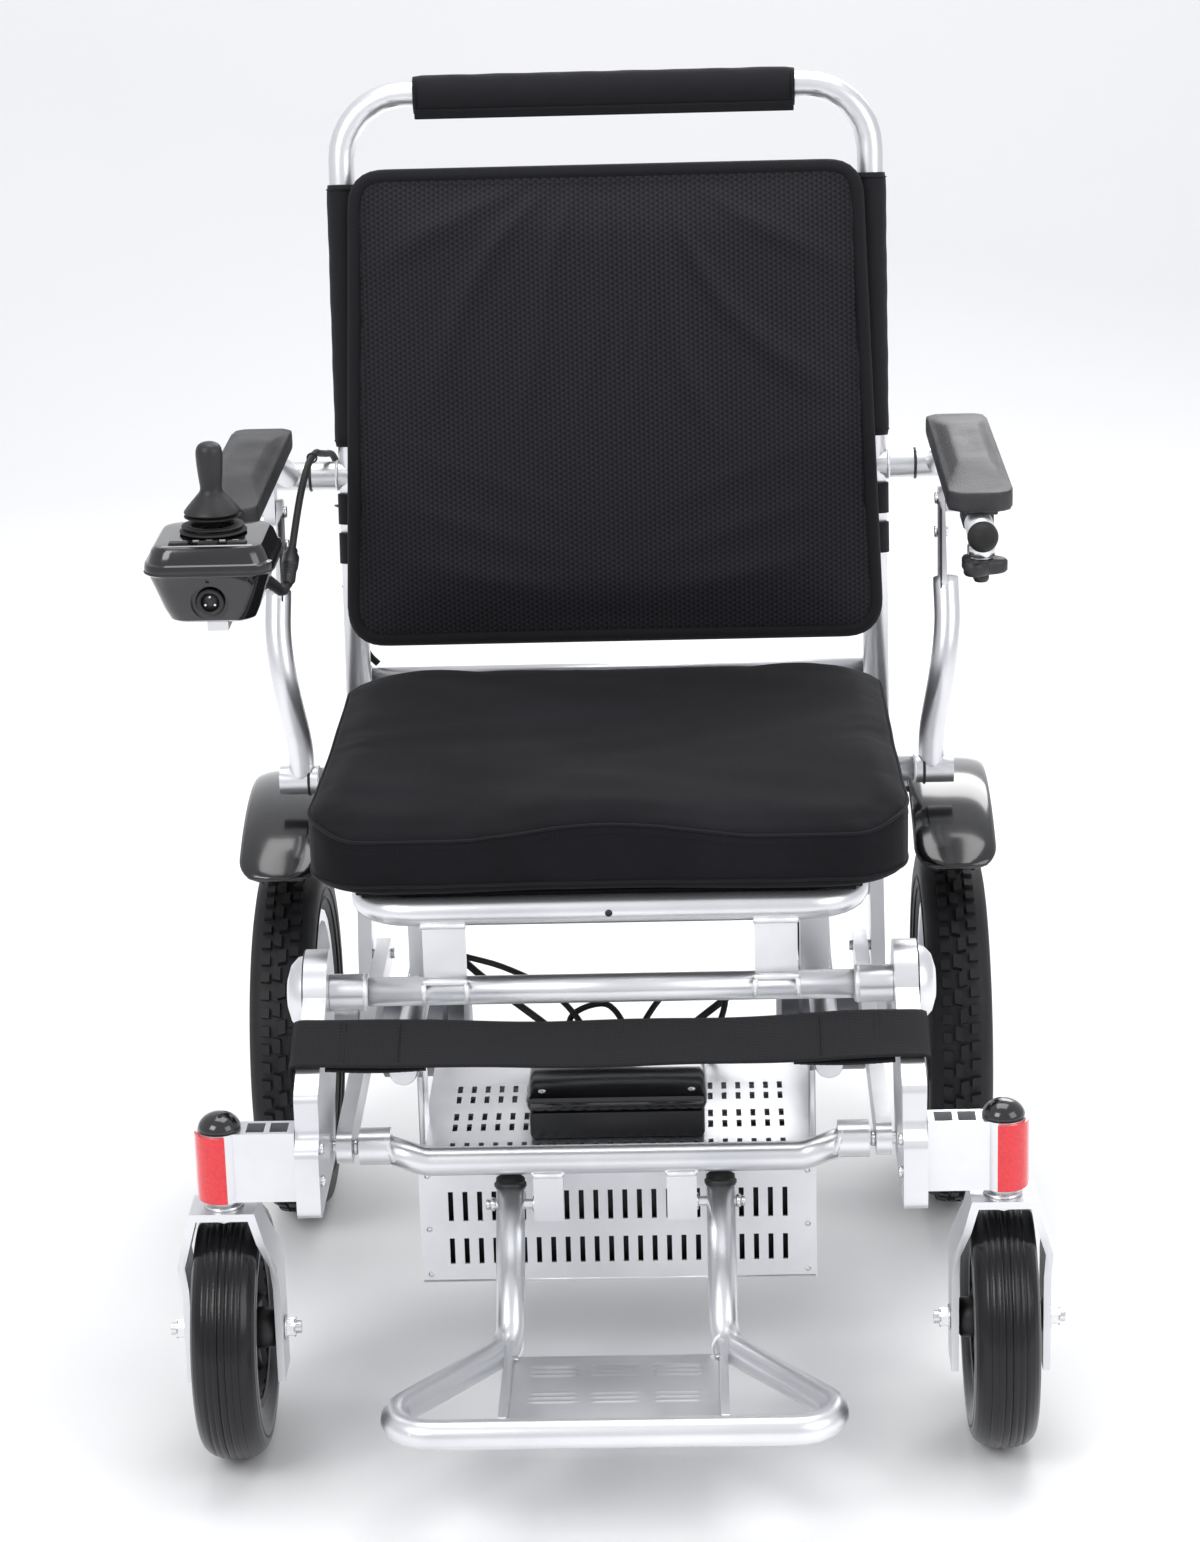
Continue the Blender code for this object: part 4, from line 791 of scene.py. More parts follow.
def caster_wheel(name, side):
    body = f"caster_{name}"
    centre = at(side * CASTER_X, -0.468, 0.100)
    half = 0.0245
    profile = [(0.0623, 0.0180), (0.0680, 0.0212), (0.0760, half), (0.0830, half)]
    steps = 14
    for number in range(steps + 1):
        angle = math.pi * number / steps
        profile.append((0.0830 + 0.0168 * math.sin(angle) ** 0.8, half * math.cos(angle)))
    profile += [(0.0830, -half), (0.0760, -half), (0.0680, -0.0212), (0.0623, -0.0180)]
    fine = []
    for (r0, a0), (r1, a1) in zip(profile, profile[1:]):
        for step in range(4):
            share = step / 4
            fine.append((r0 + (r1 - r0) * share, a0 + (a1 - a0) * share))
    fine.append(profile[-1])
    grooves = (-0.0125, -0.0075, -0.0025, 0.0025, 0.0075, 0.0125)
    cut = []
    for radius, along in fine:
        near = min(abs(along - groove) for groove in grooves)
        depth = 0.0011 * max(0.0, 1 - near / 0.0009) if radius > 0.09 else 0.0
        cut.append((radius - depth, along))
    dense = []
    for (r0, a0), (r1, a1) in zip(cut, cut[1:]):
        dense.append((r0, a0))
        if r0 > 0.09:
            for groove in sorted(grooves, reverse=True):
                for offset, drop in ((0.0007, 0), (0.0, 0.0012), (-0.0007, 0)):
                    place = groove + offset
                    if a1 < place < a0:
                        share = (place - a0) / (a1 - a0)
                        dense.append((r0 + (r1 - r0) * share - drop, place))
    dense.append(cut[-1])
    tyre = turned(f"caster_tyre_detail_{name}", dense + [dense[0]], centre, (1, 0, 0), SLICK, body,
                  "caster_tyre", 96)
    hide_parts(f"caster_tyre_{name}")
    out = Vector((side, 0, 0))
    for face in (-1, 1):
        turned(f"caster_hub_ring_{name}_{face + 1}", [
            (0.0545, 0.0186), (0.0615, 0.0190), (0.0622, 0.0182), (0.0622, 0.0160),
                (0.0545, 0.0160),
            (0.0545, 0.0186)], centre, out * face, MATTE, body, "matte_plastic", 72)
        turned(f"caster_hub_boss_{name}_{face + 1}", [
            (0.0056, 0.0316), (0.0125, 0.0314), (0.0150, 0.0296), (0.0165, 0.0100),
                (0.0120, 0.0095)],
            centre, out * face, MATTE, body, "matte_plastic", 40)
        ribs = []
        for number in range(6):
            angle = TAU * number / 6
            spoke = Vector((0, math.cos(angle), math.sin(angle)))
            ribs.append(bare_rod("rib", centre + out * face * 0.0105 + spoke * 0.013,
                                 centre + out * face * 0.0120 + spoke * 0.054, 0.0034, 12))
        merged(f"caster_hub_ribs_{name}_{face + 1}", ribs, MATTE, body, "matte_plastic")
        nut = centre + out * face * 0.0380
        fork = f"fork_{name}"
        turned(f"axle_washer_{name}_{face + 1}", [
            (0.005, 0.0010), (0.0098, 0.0010), (0.0100, 0.0004), (0.0100, 0.0), (0.005, 0.0)], nut,
                out * face,
            STEEL, fork, "steel", 32)
        turned(f"axle_cap_{name}_{face + 1}", [
            (0.0048, 0.0078), (0.0074, 0.0074), (0.0078, 0.0066), (0.0078, 0.0078)], nut,
                out * face,
            STEEL, fork, "steel", 6)
    turned(f"stem_washer_{name}", [
        (0.0065, 0.0028), (0.0145, 0.0026), (0.0150, 0.0018), (0.0150, 0.0), (0.0065, 0.0)],
        at(side * CASTER_X, -0.495, 0.2150), (0, 0, 1), STEEL, f"fork_{name}", "steel", 32)


frame_tubes()
welds()
for side_name, side_sign in SIDES:
    rear_wheel(side_name, side_sign)
    caster_wheel(side_name, side_sign)


# ---------------------------------------------------------------- soft goods

CUSHION_BOTTOM = 0.4168
CUSHION_TOP = 0.4800
CUSHION_HALF = 0.2345
CUSHION_FRONT = -0.3865
CUSHION_REAR = 0.0480
SLEEVE_R = 0.0140


def bell(value, width):
    return math.exp(-(value / width) ** 2)


def step_between(value, low, high):
    share = min(1.0, max(0.0, (value - low) / (high - low)))
    return share * share * (3 - 2 * share)


def outline_of(corners, radii, steps=12):
    """A closed outline through 2-D corners, each rounded by its own radius, with even spacing."""
    path = []
    count = len(corners)
    for number, (corner, radius) in enumerate(zip(corners, radii)):
        triple = [corners[number - 1], corner, corners[(number + 1) % count]]
        arc = rounded([(*point, 0) for point in triple], radius, steps)[1:-1]
        path += arc
    return [Vector((p.x, p.y)) for p in resampled([Vector((p.x, p.y, 0)) for p in path], 0.006,
        True)]


def resampled(path, spacing, closed=False):
    """The same line with points an even spacing apart."""
    points = list(path) + ([path[0]] if closed else [])
    total = sum((b - a).length for a, b in zip(points, points[1:]))
    count = max(3, round(total / spacing))
    out = [points[0].copy()]
    walked = 0.0
    for a, b in zip(points, points[1:]):
        length = (b - a).length
        while len(out) < count and walked + length >= len(out) * total / count:
            out.append(a.lerp(b, (len(out) * total / count - walked) / length))
        walked += length
    return out if closed else out + [points[-1].copy()]


def pillow(name, outline, top, bottom, place, rings=48, wall=6):
    """A closed pad: top(x, y, inset) and bottom(x, y, inset) over the outline; place maps (x,
    y, h)."""
    bm = bmesh.new()
    middle = sum(outline, Vector((0, 0))) / len(outline)

    def face_rings(height):
        made = []
        for number in range(rings):
            share = 1 - (number / rings) ** 1.15
            inset = (1 - share) * 0.2
            ring = [middle + (point - middle) * share for point in outline]
            made.append([bm.verts.new(place(p.x, p.y, height(p.x, p.y, inset))) for p in ring])
        centre = bm.verts.new(place(middle.x, middle.y, height(middle.x, middle.y, 0.2)))
        return made, centre

    upper, upper_centre = face_rings(top)
    lower, lower_centre = face_rings(bottom)
    walls = [upper[0]]
    for number in range(1, wall):
        share = number / wall
        ring = []
        for point in outline:
            high = top(point.x, point.y, 0)
            low = bottom(point.x, point.y, 0)
            ring.append(bm.verts.new(place(point.x, point.y, high + (low - high) * share)))
        walls.append(ring)
    walls.append(lower[0])
    for made, centre in ((upper, upper_centre), (lower, lower_centre)):
        for outer, inner in zip(made, made[1:]):
            for a in range(len(outline)):
                b = (a + 1) % len(outline)
                bm.faces.new((outer[a], outer[b], inner[b], inner[a]))
        for a in range(len(outline)):
            bm.faces.new((made[-1][a], made[-1][(a + 1) % len(outline)], centre))
    for high, low in zip(walls, walls[1:]):
        for a in range(len(outline)):
            b = (a + 1) % len(outline)
            bm.faces.new((high[a], high[b], low[b], low[a]))
    return mesh_object(name, bm)


def inflate(obj, voxel, cap, pressure=4.0):
    """Cloth under air pressure fills the pad; no point moves further than cap. The result is
    applied."""
    remesh = obj.modifiers.new("even_mesh", "REMESH")
    remesh.mode = "VOXEL"
    remesh.voxel_size = voxel
    graph = bpy.context.evaluated_depsgraph_get()
    mesh = bpy.data.meshes.new_from_object(obj.evaluated_get(graph))
    obj.modifiers.clear()
    obj.data = mesh
    if cap == 0:
        return obj
    rest = [vertex.co.copy() for vertex in mesh.vertices]
    cloth = obj.modifiers.new("cloth", "CLOTH")
    cloth.settings.quality = 6
    cloth.settings.mass = 0.3
    cloth.settings.use_pressure = True
    cloth.settings.uniform_pressure_force = pressure
    cloth.settings.tension_stiffness = 20
    cloth.settings.compression_stiffness = 20
    cloth.settings.shear_stiffness = 8
    cloth.settings.bending_stiffness = 1.5
    cloth.settings.effector_weights.gravity = 0
    scene = bpy.context.scene
    for number in range(1, 21):
        scene.frame_set(number)
    graph = bpy.context.evaluated_depsgraph_get()
    swollen = obj.evaluated_get(graph).to_mesh()
    moved = [vertex.co.copy() for vertex in swollen.vertices]
    obj.evaluated_get(graph).to_mesh_clear()
    obj.modifiers.clear()
    scene.frame_set(1)
    for vertex, start, end in zip(obj.data.vertices, rest, moved):
        shift = end - start
        if shift.length > cap:
            shift = shift.normalized() * cap
        vertex.co = start + shift
    return obj


def displaced(obj, shift):
    """Every vertex moves by shift(its place)."""
    for vertex in obj.data.vertices:
        vertex.co = vertex.co + shift(vertex.co)
    return obj


def cushion_top(x, y, inset):
    """Height of the contoured seat top: dished for the seat, two thigh channels, a front pommel."""
    forward = step_between(-y, 0.20, 0.37)
    middle = bell(x, 0.13) * bell(y + 0.13, 0.13)
    channels = step_between(abs(x), 0.025,
        0.125) * (1 - step_between(abs(x), 0.200, 0.228)) * forward
    pommel = bell(x, 0.045) * forward
    edge = step_between(inset, 0.0, 0.022)
    return CUSHION_TOP - 0.006 * (1 - edge) - 0.013 * middle - 0.0080 * channels + 0.0035 * pommel


def seat_cushion():
    low, high = -CUSHION_HALF, CUSHION_HALF
    outline = outline_of([(low, CUSHION_FRONT), (high, CUSHION_FRONT), (high - 0.004, CUSHION_REAR),
                          (low + 0.004, CUSHION_REAR)], (0.052, 0.052, 0.060, 0.060))

    def bottom(x, y, inset):
        return CUSHION_BOTTOM + 0.005 * (1 - step_between(inset, 0.0, 0.012))

    pad = pillow("seat_pad", [Vector(point) for point in outline], cushion_top, bottom, at)
    inflate(pad, 0.006, 0.0035)
    creases = finish_creases(pad)
    subdivide(piece(creases, KNIT, None, "knit_fabric"))
    apply_modifiers(pad)
    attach(pad, "seat")
    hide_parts("seat_cushion")
    cords = []
    seams = []
    for top_seam in (True, False):
        path = []
        for point in outline:
            height = cushion_top(point.x, point.y,
                0) - 0.003 if top_seam else CUSHION_BOTTOM + 0.008
            path.append(on_surface(pad, at(point.x, point.y, height), 0.0006))
        line = smooth_ring(path, 2)
        bm = bmesh.new()
        sweep(bm, line, circle(0.0014, 8), closed=True)
        cords.append(mesh_object("piping", bm))
        if top_seam:
            lower = [on_surface(pad, place - Vector((0, 0, 0.008)), 0.0002) for place in line]
            seams.append(resampled(smooth_ring(lower, 2), 0.0034, True))
    stitched = stitches("seat_stitches", seams, BINDING, None, "knit_fabric")
    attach(stitched, "seat")
    piping = merged("seat_piping", cords, BINDING, None, "knit_fabric")
    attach(piping, "seat")
    for soft in (pad, piping, stitched):
        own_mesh(soft)


def on_surface(obj, place, lift):
    """The nearest place on the object's surface, lifted off it along its normal."""
    _, near, normal, _ = obj.closest_point_on_mesh(place)
    return near + normal * lift


def smooth_ring(path, times):
    for _ in range(times):
        path = [(path[n - 1] + path[n] * 2 + path[(n + 1) % len(path)]) / 4 for n in range(len(path))]
    return path


def finish_creases(pad):
    """Soft tension creases at the rounded corners and a few across the front panel."""
    def shift(place):
        x, y, z = place.x, place.y - AXLE_Y, place.z
        side_wall = step_between(abs(x), 0.205, 0.225) + step_between(-y, 0.355, 0.378)
        pull = math.sin(x * 95 + 2.2 * math.sin(y * 60)) * math.sin(z * 130 + x * 20)
        amount = 0.0005 * min(1.0, side_wall) * pull
        top = step_between(z, 0.455,
            0.470) * 0.0006 * math.sin(x * 38 + 3 * math.sin(y * 21)) * math.sin(y * 33)
        return Vector((0, -amount, top))
    return displaced(pad, shift)


def apply_modifiers(obj):
    graph = bpy.context.evaluated_depsgraph_get()
    mesh = bpy.data.meshes.new_from_object(obj.evaluated_get(graph))
    obj.modifiers.clear()
    obj.data = mesh
    return obj


BACK_BOTTOM = 0.487
BACK_TOP = 0.890
BACK_RISE = (BACK_TOP - BACK_BOTTOM) / math.cos(RECLINE)
BACK_GAP = 0.0150


def on_back(x, up, out):
    """A place on the back's own plane: up its slope from the pad's bottom, out towards the
    front."""
    foot = Vector((x, back_y(BACK_BOTTOM), BACK_BOTTOM))
    slope = Vector((0, math.sin(RECLINE), math.cos(RECLINE)))
    face = Vector((0, -math.cos(RECLINE), math.sin(RECLINE)))
    place = foot + slope * up + face * out
    return at(*place)


def back_wrinkles(x, up):
    """Folds that fan out from the middle of the top edge, and drag lines along the bottom
    corners."""
    dx = x - 0.012
    dy = BACK_RISE + 0.05 - up
    reach = math.hypot(dx, dy)
    angle = math.atan2(dx, dy)
    fan = 0.0
    for centre, width, size, start, end in (
            (-0.92, 0.060, 0.9, 0.10, 0.30), (-0.66, 0.050, 1.0, 0.09, 0.33),
                (-0.42, 0.042, 1.1, 0.08, 0.30),
            (-0.20, 0.035, 0.8, 0.08, 0.27), (-0.03, 0.030, 0.9, 0.08, 0.26),
                (0.13, 0.032, 1.0, 0.08, 0.30),
            (0.33, 0.040, 0.9, 0.09, 0.32), (0.56, 0.050, 1.1, 0.09, 0.34),
                (0.85, 0.060, 0.8, 0.10, 0.30)):
        bend = centre + 0.10 * math.sin(reach * 14 + centre * 5)
        along = step_between(reach, start - 0.03,
            start + 0.06) * (1 - step_between(reach, end - 0.10, end))
        fan += size * bell(angle - bend, width) * along
    drag = 0.0
    for side in (-1, 1):
        for rise, tilt, size in ((0.055, 0.45, 0.8), (0.095, 0.62, 0.7), (0.140, 0.80, 0.5)):
            line = up - rise + (side * x - 0.10) * -tilt * 0.5
            drag += size * bell(line, 0.010) * bell(side * x - 0.12, 0.07)
    return 0.0042 * fan + 0.0020 * drag


def back_cushion():
    bottom_half, top_half = 0.2285, 0.2150
    corners = [(-bottom_half, 0.004), (bottom_half, 0.004), (top_half, BACK_RISE - 0.004),
               (-top_half, BACK_RISE - 0.004)]
    outline = outline_of(corners, (0.022, 0.022, 0.020, 0.020))

    def front(x, up, inset):
        crown = 0.0105 * step_between(inset, 0.0, 0.055)
        return BACK_GAP + 0.0115 + crown

    def rear(x, up, inset):
        return BACK_GAP + 0.003 * (1 - step_between(inset, 0, 0.02))

    pad = pillow("back_pad", outline, front, rear, on_back, 46, 3)
    inflate(pad, 0.005, 0.0030)
    face = Vector((0, -math.cos(RECLINE), math.sin(RECLINE)))
    slope = Vector((0, math.sin(RECLINE), math.cos(RECLINE)))
    foot = at(0, back_y(BACK_BOTTOM), BACK_BOTTOM)

    def shift(place):
        away = place - foot
        up = away.dot(slope)
        out = away.dot(face)
        front_share = step_between(out, BACK_GAP + 0.008, BACK_GAP + 0.016)
        return face * (back_wrinkles(place.x, up) - 0.0016) * front_share

    displaced(pad, shift)
    subdivide(piece(pad, MESH, None, "mesh_fabric"))
    apply_modifiers(pad)
    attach(pad, "backrest")
    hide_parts("back_cushion")
    bm = bmesh.new()
    section = [(0.0052 * math.cos(TAU * n / 16),
        0.0064 * math.sin(TAU * n / 16)) for n in range(16)]
    path = [on_back(p.x, p.y, BACK_GAP + 0.0068) for p in outline]
    sweep(bm, smooth_ring(path, 2), section, closed=True)
    rim = piece(mesh_object("back_pad_binding", bm), BINDING, None, "nylon_fabric")
    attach(rim, "backrest")
    middle = sum(outline, Vector((0, 0))) / len(outline)
    line = []
    for p in outline:
        pulled = p + (middle - p).normalized() * 0.0095
        line.append(on_back(pulled.x, pulled.y, BACK_GAP + 0.0158))
    line = resampled(smooth_ring(line, 3), 0.0036, True)
    stitches("back_pad_stitches", [line], BINDING, "backrest", "nylon_fabric")


def upright(x, z, out=0.0):
    """A place on the line of an upright at height z, moved out towards the front."""
    return at(x, back_y(z) - out * math.cos(RECLINE), z + out * math.sin(RECLINE))


def back_sling():
    """The stretched back panel, its tube sleeves with rolled ends, and the small straps below."""
    bm = bmesh.new()
    columns, rows = 60, 54
    grid = []
    for row in range(rows + 1):
        z = 0.502 + (0.877 - 0.502) * row / rows
        line = []
        for column in range(columns + 1):
            x = -0.2145 + 0.429 * column / columns
            sag = 0.0035 * (1 - (x / 0.2145) ** 2)
            ripple = 0.0007 * math.sin(x * 60 + 2.5 * math.sin(z * 18)) * math.sin(z * 31)
            line.append(bm.verts.new(upright(x, z,
                -sag - ripple * step_between(0.21 - abs(x), 0, 0.05))))
        grid.append(line)
    for low, high in zip(grid, grid[1:]):
        for column in range(columns):
            bm.faces.new((low[column], low[column + 1], high[column + 1], high[column]))
    panel = mesh_object("back_panel", bm)
    solid = panel.modifiers.new("thickness", "SOLIDIFY")
    solid.thickness = 0.0018
    solid.offset = 0
    apply_modifiers(panel)
    piece(panel, NYLON, "backrest", "nylon_fabric")
    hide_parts("back_sling")
    seams = []
    threads = []
    for name, side in SIDES:
        path = [upright(side * BACK_X, 0.657 + 0.223 * n / 40) for n in range(41)]
        radii = [1 + 0.020 * math.sin(n * 0.9) * math.sin(n * 0.37) for n in range(41)]
        radii[0] = radii[-1] = 0.93
        sleeve = tube(f"back_sleeve_{name}", path, SLEEVE_R - 0.0004, NYLON, "backrest",
            "nylon_fabric", 32,
                      radii=radii)
        for z in (0.662, 0.876):
            ring = torus(upright(side * BACK_X, z), (0, math.sin(RECLINE), math.cos(RECLINE)),
                         SLEEVE_R - 0.0003, 0.0006, 40, 6)
            seams.append(ring)
        for z in (0.556, 0.590):
            strap = [upright(side * BACK_X, z + 0.026 * n / 8) for n in range(9)]
            loop = tube(f"back_strap_{name}_{round(z * 1000)}", strap, 0.0128, NYLON, "backrest",
                        "nylon_fabric", 28)
        for x in (0.2125, 0.2065):
            threads.append([upright(side * x, 0.51 + 0.36 * n / 90, 0.0022) for n in range(91)])
        for z in (0.558, 0.590):
            tab = block("tab", (side * 0.212, -0.0016, -0.012), (side * 0.228, 0.0016, 0.012),
                0.0006, 2)
            tab.data.transform(Matrix.Translation(upright(0, z + 0.013)) @ Matrix.Rotation(-RECLINE,
                4, "X"))
            seams.append(tab)
    merged("back_sling_seams", seams, BINDING, "backrest", "nylon_fabric")
    stitches("back_sling_stitches", threads, BINDING, "backrest", "nylon_fabric")


def handle_sleeve():
    """A quilted wrap round the push handle with a flat seam flap along its lower edge."""
    bm = bmesh.new()
    y = back_y(HANDLE_Z)
    path = [at(-0.1640 + 0.328 * n / 80, y, HANDLE_Z) for n in range(81)]
    rings = []
    for number, place in enumerate(path):
        ring = []
        share = number / 80
        end = min(1.0, min(number, 80 - number) / 2)
        for k in range(40):
            angle = TAU * k / 40
            out_y = 0.0138 * math.cos(angle)
            out_z = 0.0165 * math.sin(angle)
            if math.sin(angle) < -0.2:
                out_z *= 1 + 0.10 * (-math.sin(angle) - 0.2)
            along_wave = 0.014 * math.sin(share * 46 + 2 * math.sin(angle * 2))
            wave = 1 + along_wave * math.sin(angle * 2 + share * 9)
            grow = (0.93 + 0.07 * end) * wave
            ring.append(bm.verts.new(place + Vector((0, out_y * grow, out_z * grow - 0.0008))))
        rings.append(ring)
    for low, high in zip(rings, rings[1:]):
        for k in range(40):
            bm.faces.new((low[k], low[(k + 1) % 40], high[(k + 1) % 40], high[k]))
    bm.faces.new(rings[0])
    bm.faces.new(rings[-1][::-1])
    cover = piece(mesh_object("handle_wrap", bm), NYLON, "backrest", "nylon_fabric")
    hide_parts("handle_sleeve")
    flap = block("flap", at(-0.163, y - 0.0125, HANDLE_Z - 0.0205),
        at(0.163, y - 0.0100, HANDLE_Z - 0.0120),
                 0.0010, 3)
    parts = [flap]
    threads = [[at(-0.161 + 0.322 * n / 92, y - 0.0129, HANDLE_Z - z) for n in range(93)]
               for z in (0.0185, 0.0145)]
    stitches("handle_wrap_stitches", threads, BINDING, "backrest", "nylon_fabric")
    for x in (-0.1615, 0.1615):
        parts.append(torus(at(x, y, HANDLE_Z - 0.0005), (1, 0, 0), 0.0146, 0.0008, 40, 6))
    merged("handle_wrap_seam", parts, BINDING, "backrest", "nylon_fabric")


def seat_sling():
    bm = bmesh.new()
    columns, rows = 40, 40
    grid = []
    for row in range(rows + 1):
        y = -0.364 + 0.408 * row / rows
        line = []
        for column in range(columns + 1):
            x = -0.1945 + 0.389 * column / columns
            hang = 0.004 * (1 - (x / 0.1945) ** 2)
            line.append(bm.verts.new(at(x, y, 0.4146 - hang)))
        grid.append(line)
    for low, high in zip(grid, grid[1:]):
        for column in range(columns):
            bm.faces.new((low[column], low[column + 1], high[column + 1], high[column]))
    panel = mesh_object("seat_panel", bm)
    solid = panel.modifiers.new("thickness", "SOLIDIFY")
    solid.thickness = 0.0020
    solid.offset = 0
    apply_modifiers(panel)
    piece(panel, NYLON, "seat", "nylon_fabric")
    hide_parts("seat_sling")
    hems = []
    for _, side in SIDES:
        hems.append(block("hem", at(side * 0.1795, -0.362, 0.4120),
            at(side * 0.1945, 0.042, 0.4150), 0.0008, 2))
    hems.append(block("hem", at(-0.19, -0.3655, 0.4108), at(0.19, -0.350, 0.4145), 0.0010, 2))
    merged("seat_panel_hems", hems, BINDING, "seat", "nylon_fabric")


def calf_strap():
    """A 50 mm webbing strap over the tops of the side plates, its tails folded back below."""
    half = 0.2385
    edge_rise, edge_run = 0.352 - 0.302, 0.500 - 0.385
    edge_slope = math.atan2(edge_rise, edge_run)
    centre = at(0, -0.452, 0.3250)
    turn = Matrix.Translation(centre) @ Matrix.Rotation(edge_slope, 4, "X")
    line = [(-half, -0.024), (-half, -0.004), (-half + 0.003, 0.0015), (-0.21, 0.0018)]
    count = 24
    for number in range(count + 1):
        x = -0.18 + 0.36 * number / count
        line.append((x, 0.0014 - 0.0042 * (1 - (x / 0.18) ** 2)))
    line += [(0.21, 0.0018), (half - 0.003, 0.0015), (half, -0.004), (half, -0.024)]
    path = [Vector((x, 0, z)) for x, z in line]
    path = resampled(smooth_path(path, 4), 0.004)
    bm = bmesh.new()
    columns = 20
    grid = []
    for number, place in enumerate(path):
        before = path[max(0, number - 1)]
        after = path[min(len(path) - 1, number + 1)]
        along = (after - before).normalized()
        up = Vector((-along.z, 0, along.x))
        row_top = []
        for column in range(columns + 1):
            v = -0.0248 + 0.0496 * column / columns
            curl = 0.0010 * (abs(v) / 0.0248) ** 4 * math.sin(place.x * 40 + v * 30)
            sag = -0.0016 * step_between(v, 0, 0.0248) * (1 - (place.x / half) ** 2)
            row_top.append(bm.verts.new(turn @ (place + up * (curl + 0.0004) + Vector((0, v,
                sag)))))
        grid.append(row_top)
    for low, high in zip(grid, grid[1:]):
        for column in range(columns):
            bm.faces.new((low[column], low[column + 1], high[column + 1], high[column]))
    strap = mesh_object("calf_strap_webbing", bm)
    solid = strap.modifiers.new("thickness", "SOLIDIFY")
    solid.thickness = 0.0019
    solid.offset = 0
    apply_modifiers(strap)
    piece(strap, WEBBING, "front_frame", "webbing")
    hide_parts("calf_strap")
    tails = []
    for side in (-1, 1):
        tail = []
        for number in range(17):
            x = side * (0.213 - 0.075 * number / 16)
            tail.append(Vector((x, 0, -0.0042 - 0.0020 * math.sin(number / 16 * math.pi))))
        for low, high in zip(tail, tail[1:]):
            strip = block("tail", (min(low.x, high.x) - 0.0004, -0.0235, low.z - 0.0011),
                          (max(low.x, high.x) + 0.0004, 0.0235, low.z + 0.0011), 0.0003, 1)
            strip.data.transform(turn)
            tails.append(strip)
    merged("calf_strap_tails", tails, WEBBING, "front_frame", "webbing")
    threads = []
    for x in (-0.203, -0.199, -0.158, 0.158, 0.199, 0.203):
        threads.append([turn @ Vector((x, -0.021 + 0.042 * n / 12, 0.0028)) for n in range(13)])
    stitches("calf_strap_stitches", threads, BINDING, "front_frame", "webbing")


def arm_pads():
    for name, side in SIDES:
        low_x, high_x = 0.2665, 0.3175
        front_y, rear_y = -0.2645, 0.0295
        outline = outline_of([(low_x, front_y), (high_x, front_y), (high_x, rear_y),
            (low_x, rear_y)],
                             (0.017, 0.017, 0.014, 0.014), 8)

        def top(x, y, inset):
            crown = 0.0085 * step_between(inset, 0.0, 0.13)
            dip = 0.0015 * bell(y + 0.10, 0.08) * step_between(inset, 0.05, 0.2)
            return 0.6955 + crown - dip

        def bottom(x, y, inset):
            return 0.6800 - 0.0028 * step_between(inset, 0.0, 0.05)

        def place(x, y, h, side=side):
            return at(side * x, y, h)

        pad = pillow(f"arm_pad_skin_{name}", outline, top, bottom, place, 14, 3)
        inflate(pad, 0.0025, 0)
        subdivide(piece(pad, PAD_SKIN, None, "pad_skin"))
        apply_modifiers(pad)
        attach(pad, f"arm_{name}")
        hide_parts(f"arm_pad_{name}")
        screws = []
        for y in (-0.215, -0.030):
            screws.append(bare_rod("boss", at(side * 0.292, y, 0.6650), at(side * 0.292, y, 0.6795),
                0.009, 24))
        base = block("base", at(side * 0.278, -0.250, 0.6745), at(side * 0.306, 0.015, 0.6790),
            0.0015)
        merged(f"arm_pad_base_{name}", screws + [base], MATTE, f"arm_{name}", "matte_plastic")


seat_cushion()
back_cushion()
back_sling()
handle_sleeve()
seat_sling()
calf_strap()
arm_pads()


# ---------------------------------------------------------------- joystick, accessory, leads

STICK = (-0.294, -0.319)
KNOB_Y = -0.313
DECK_Z = 0.690


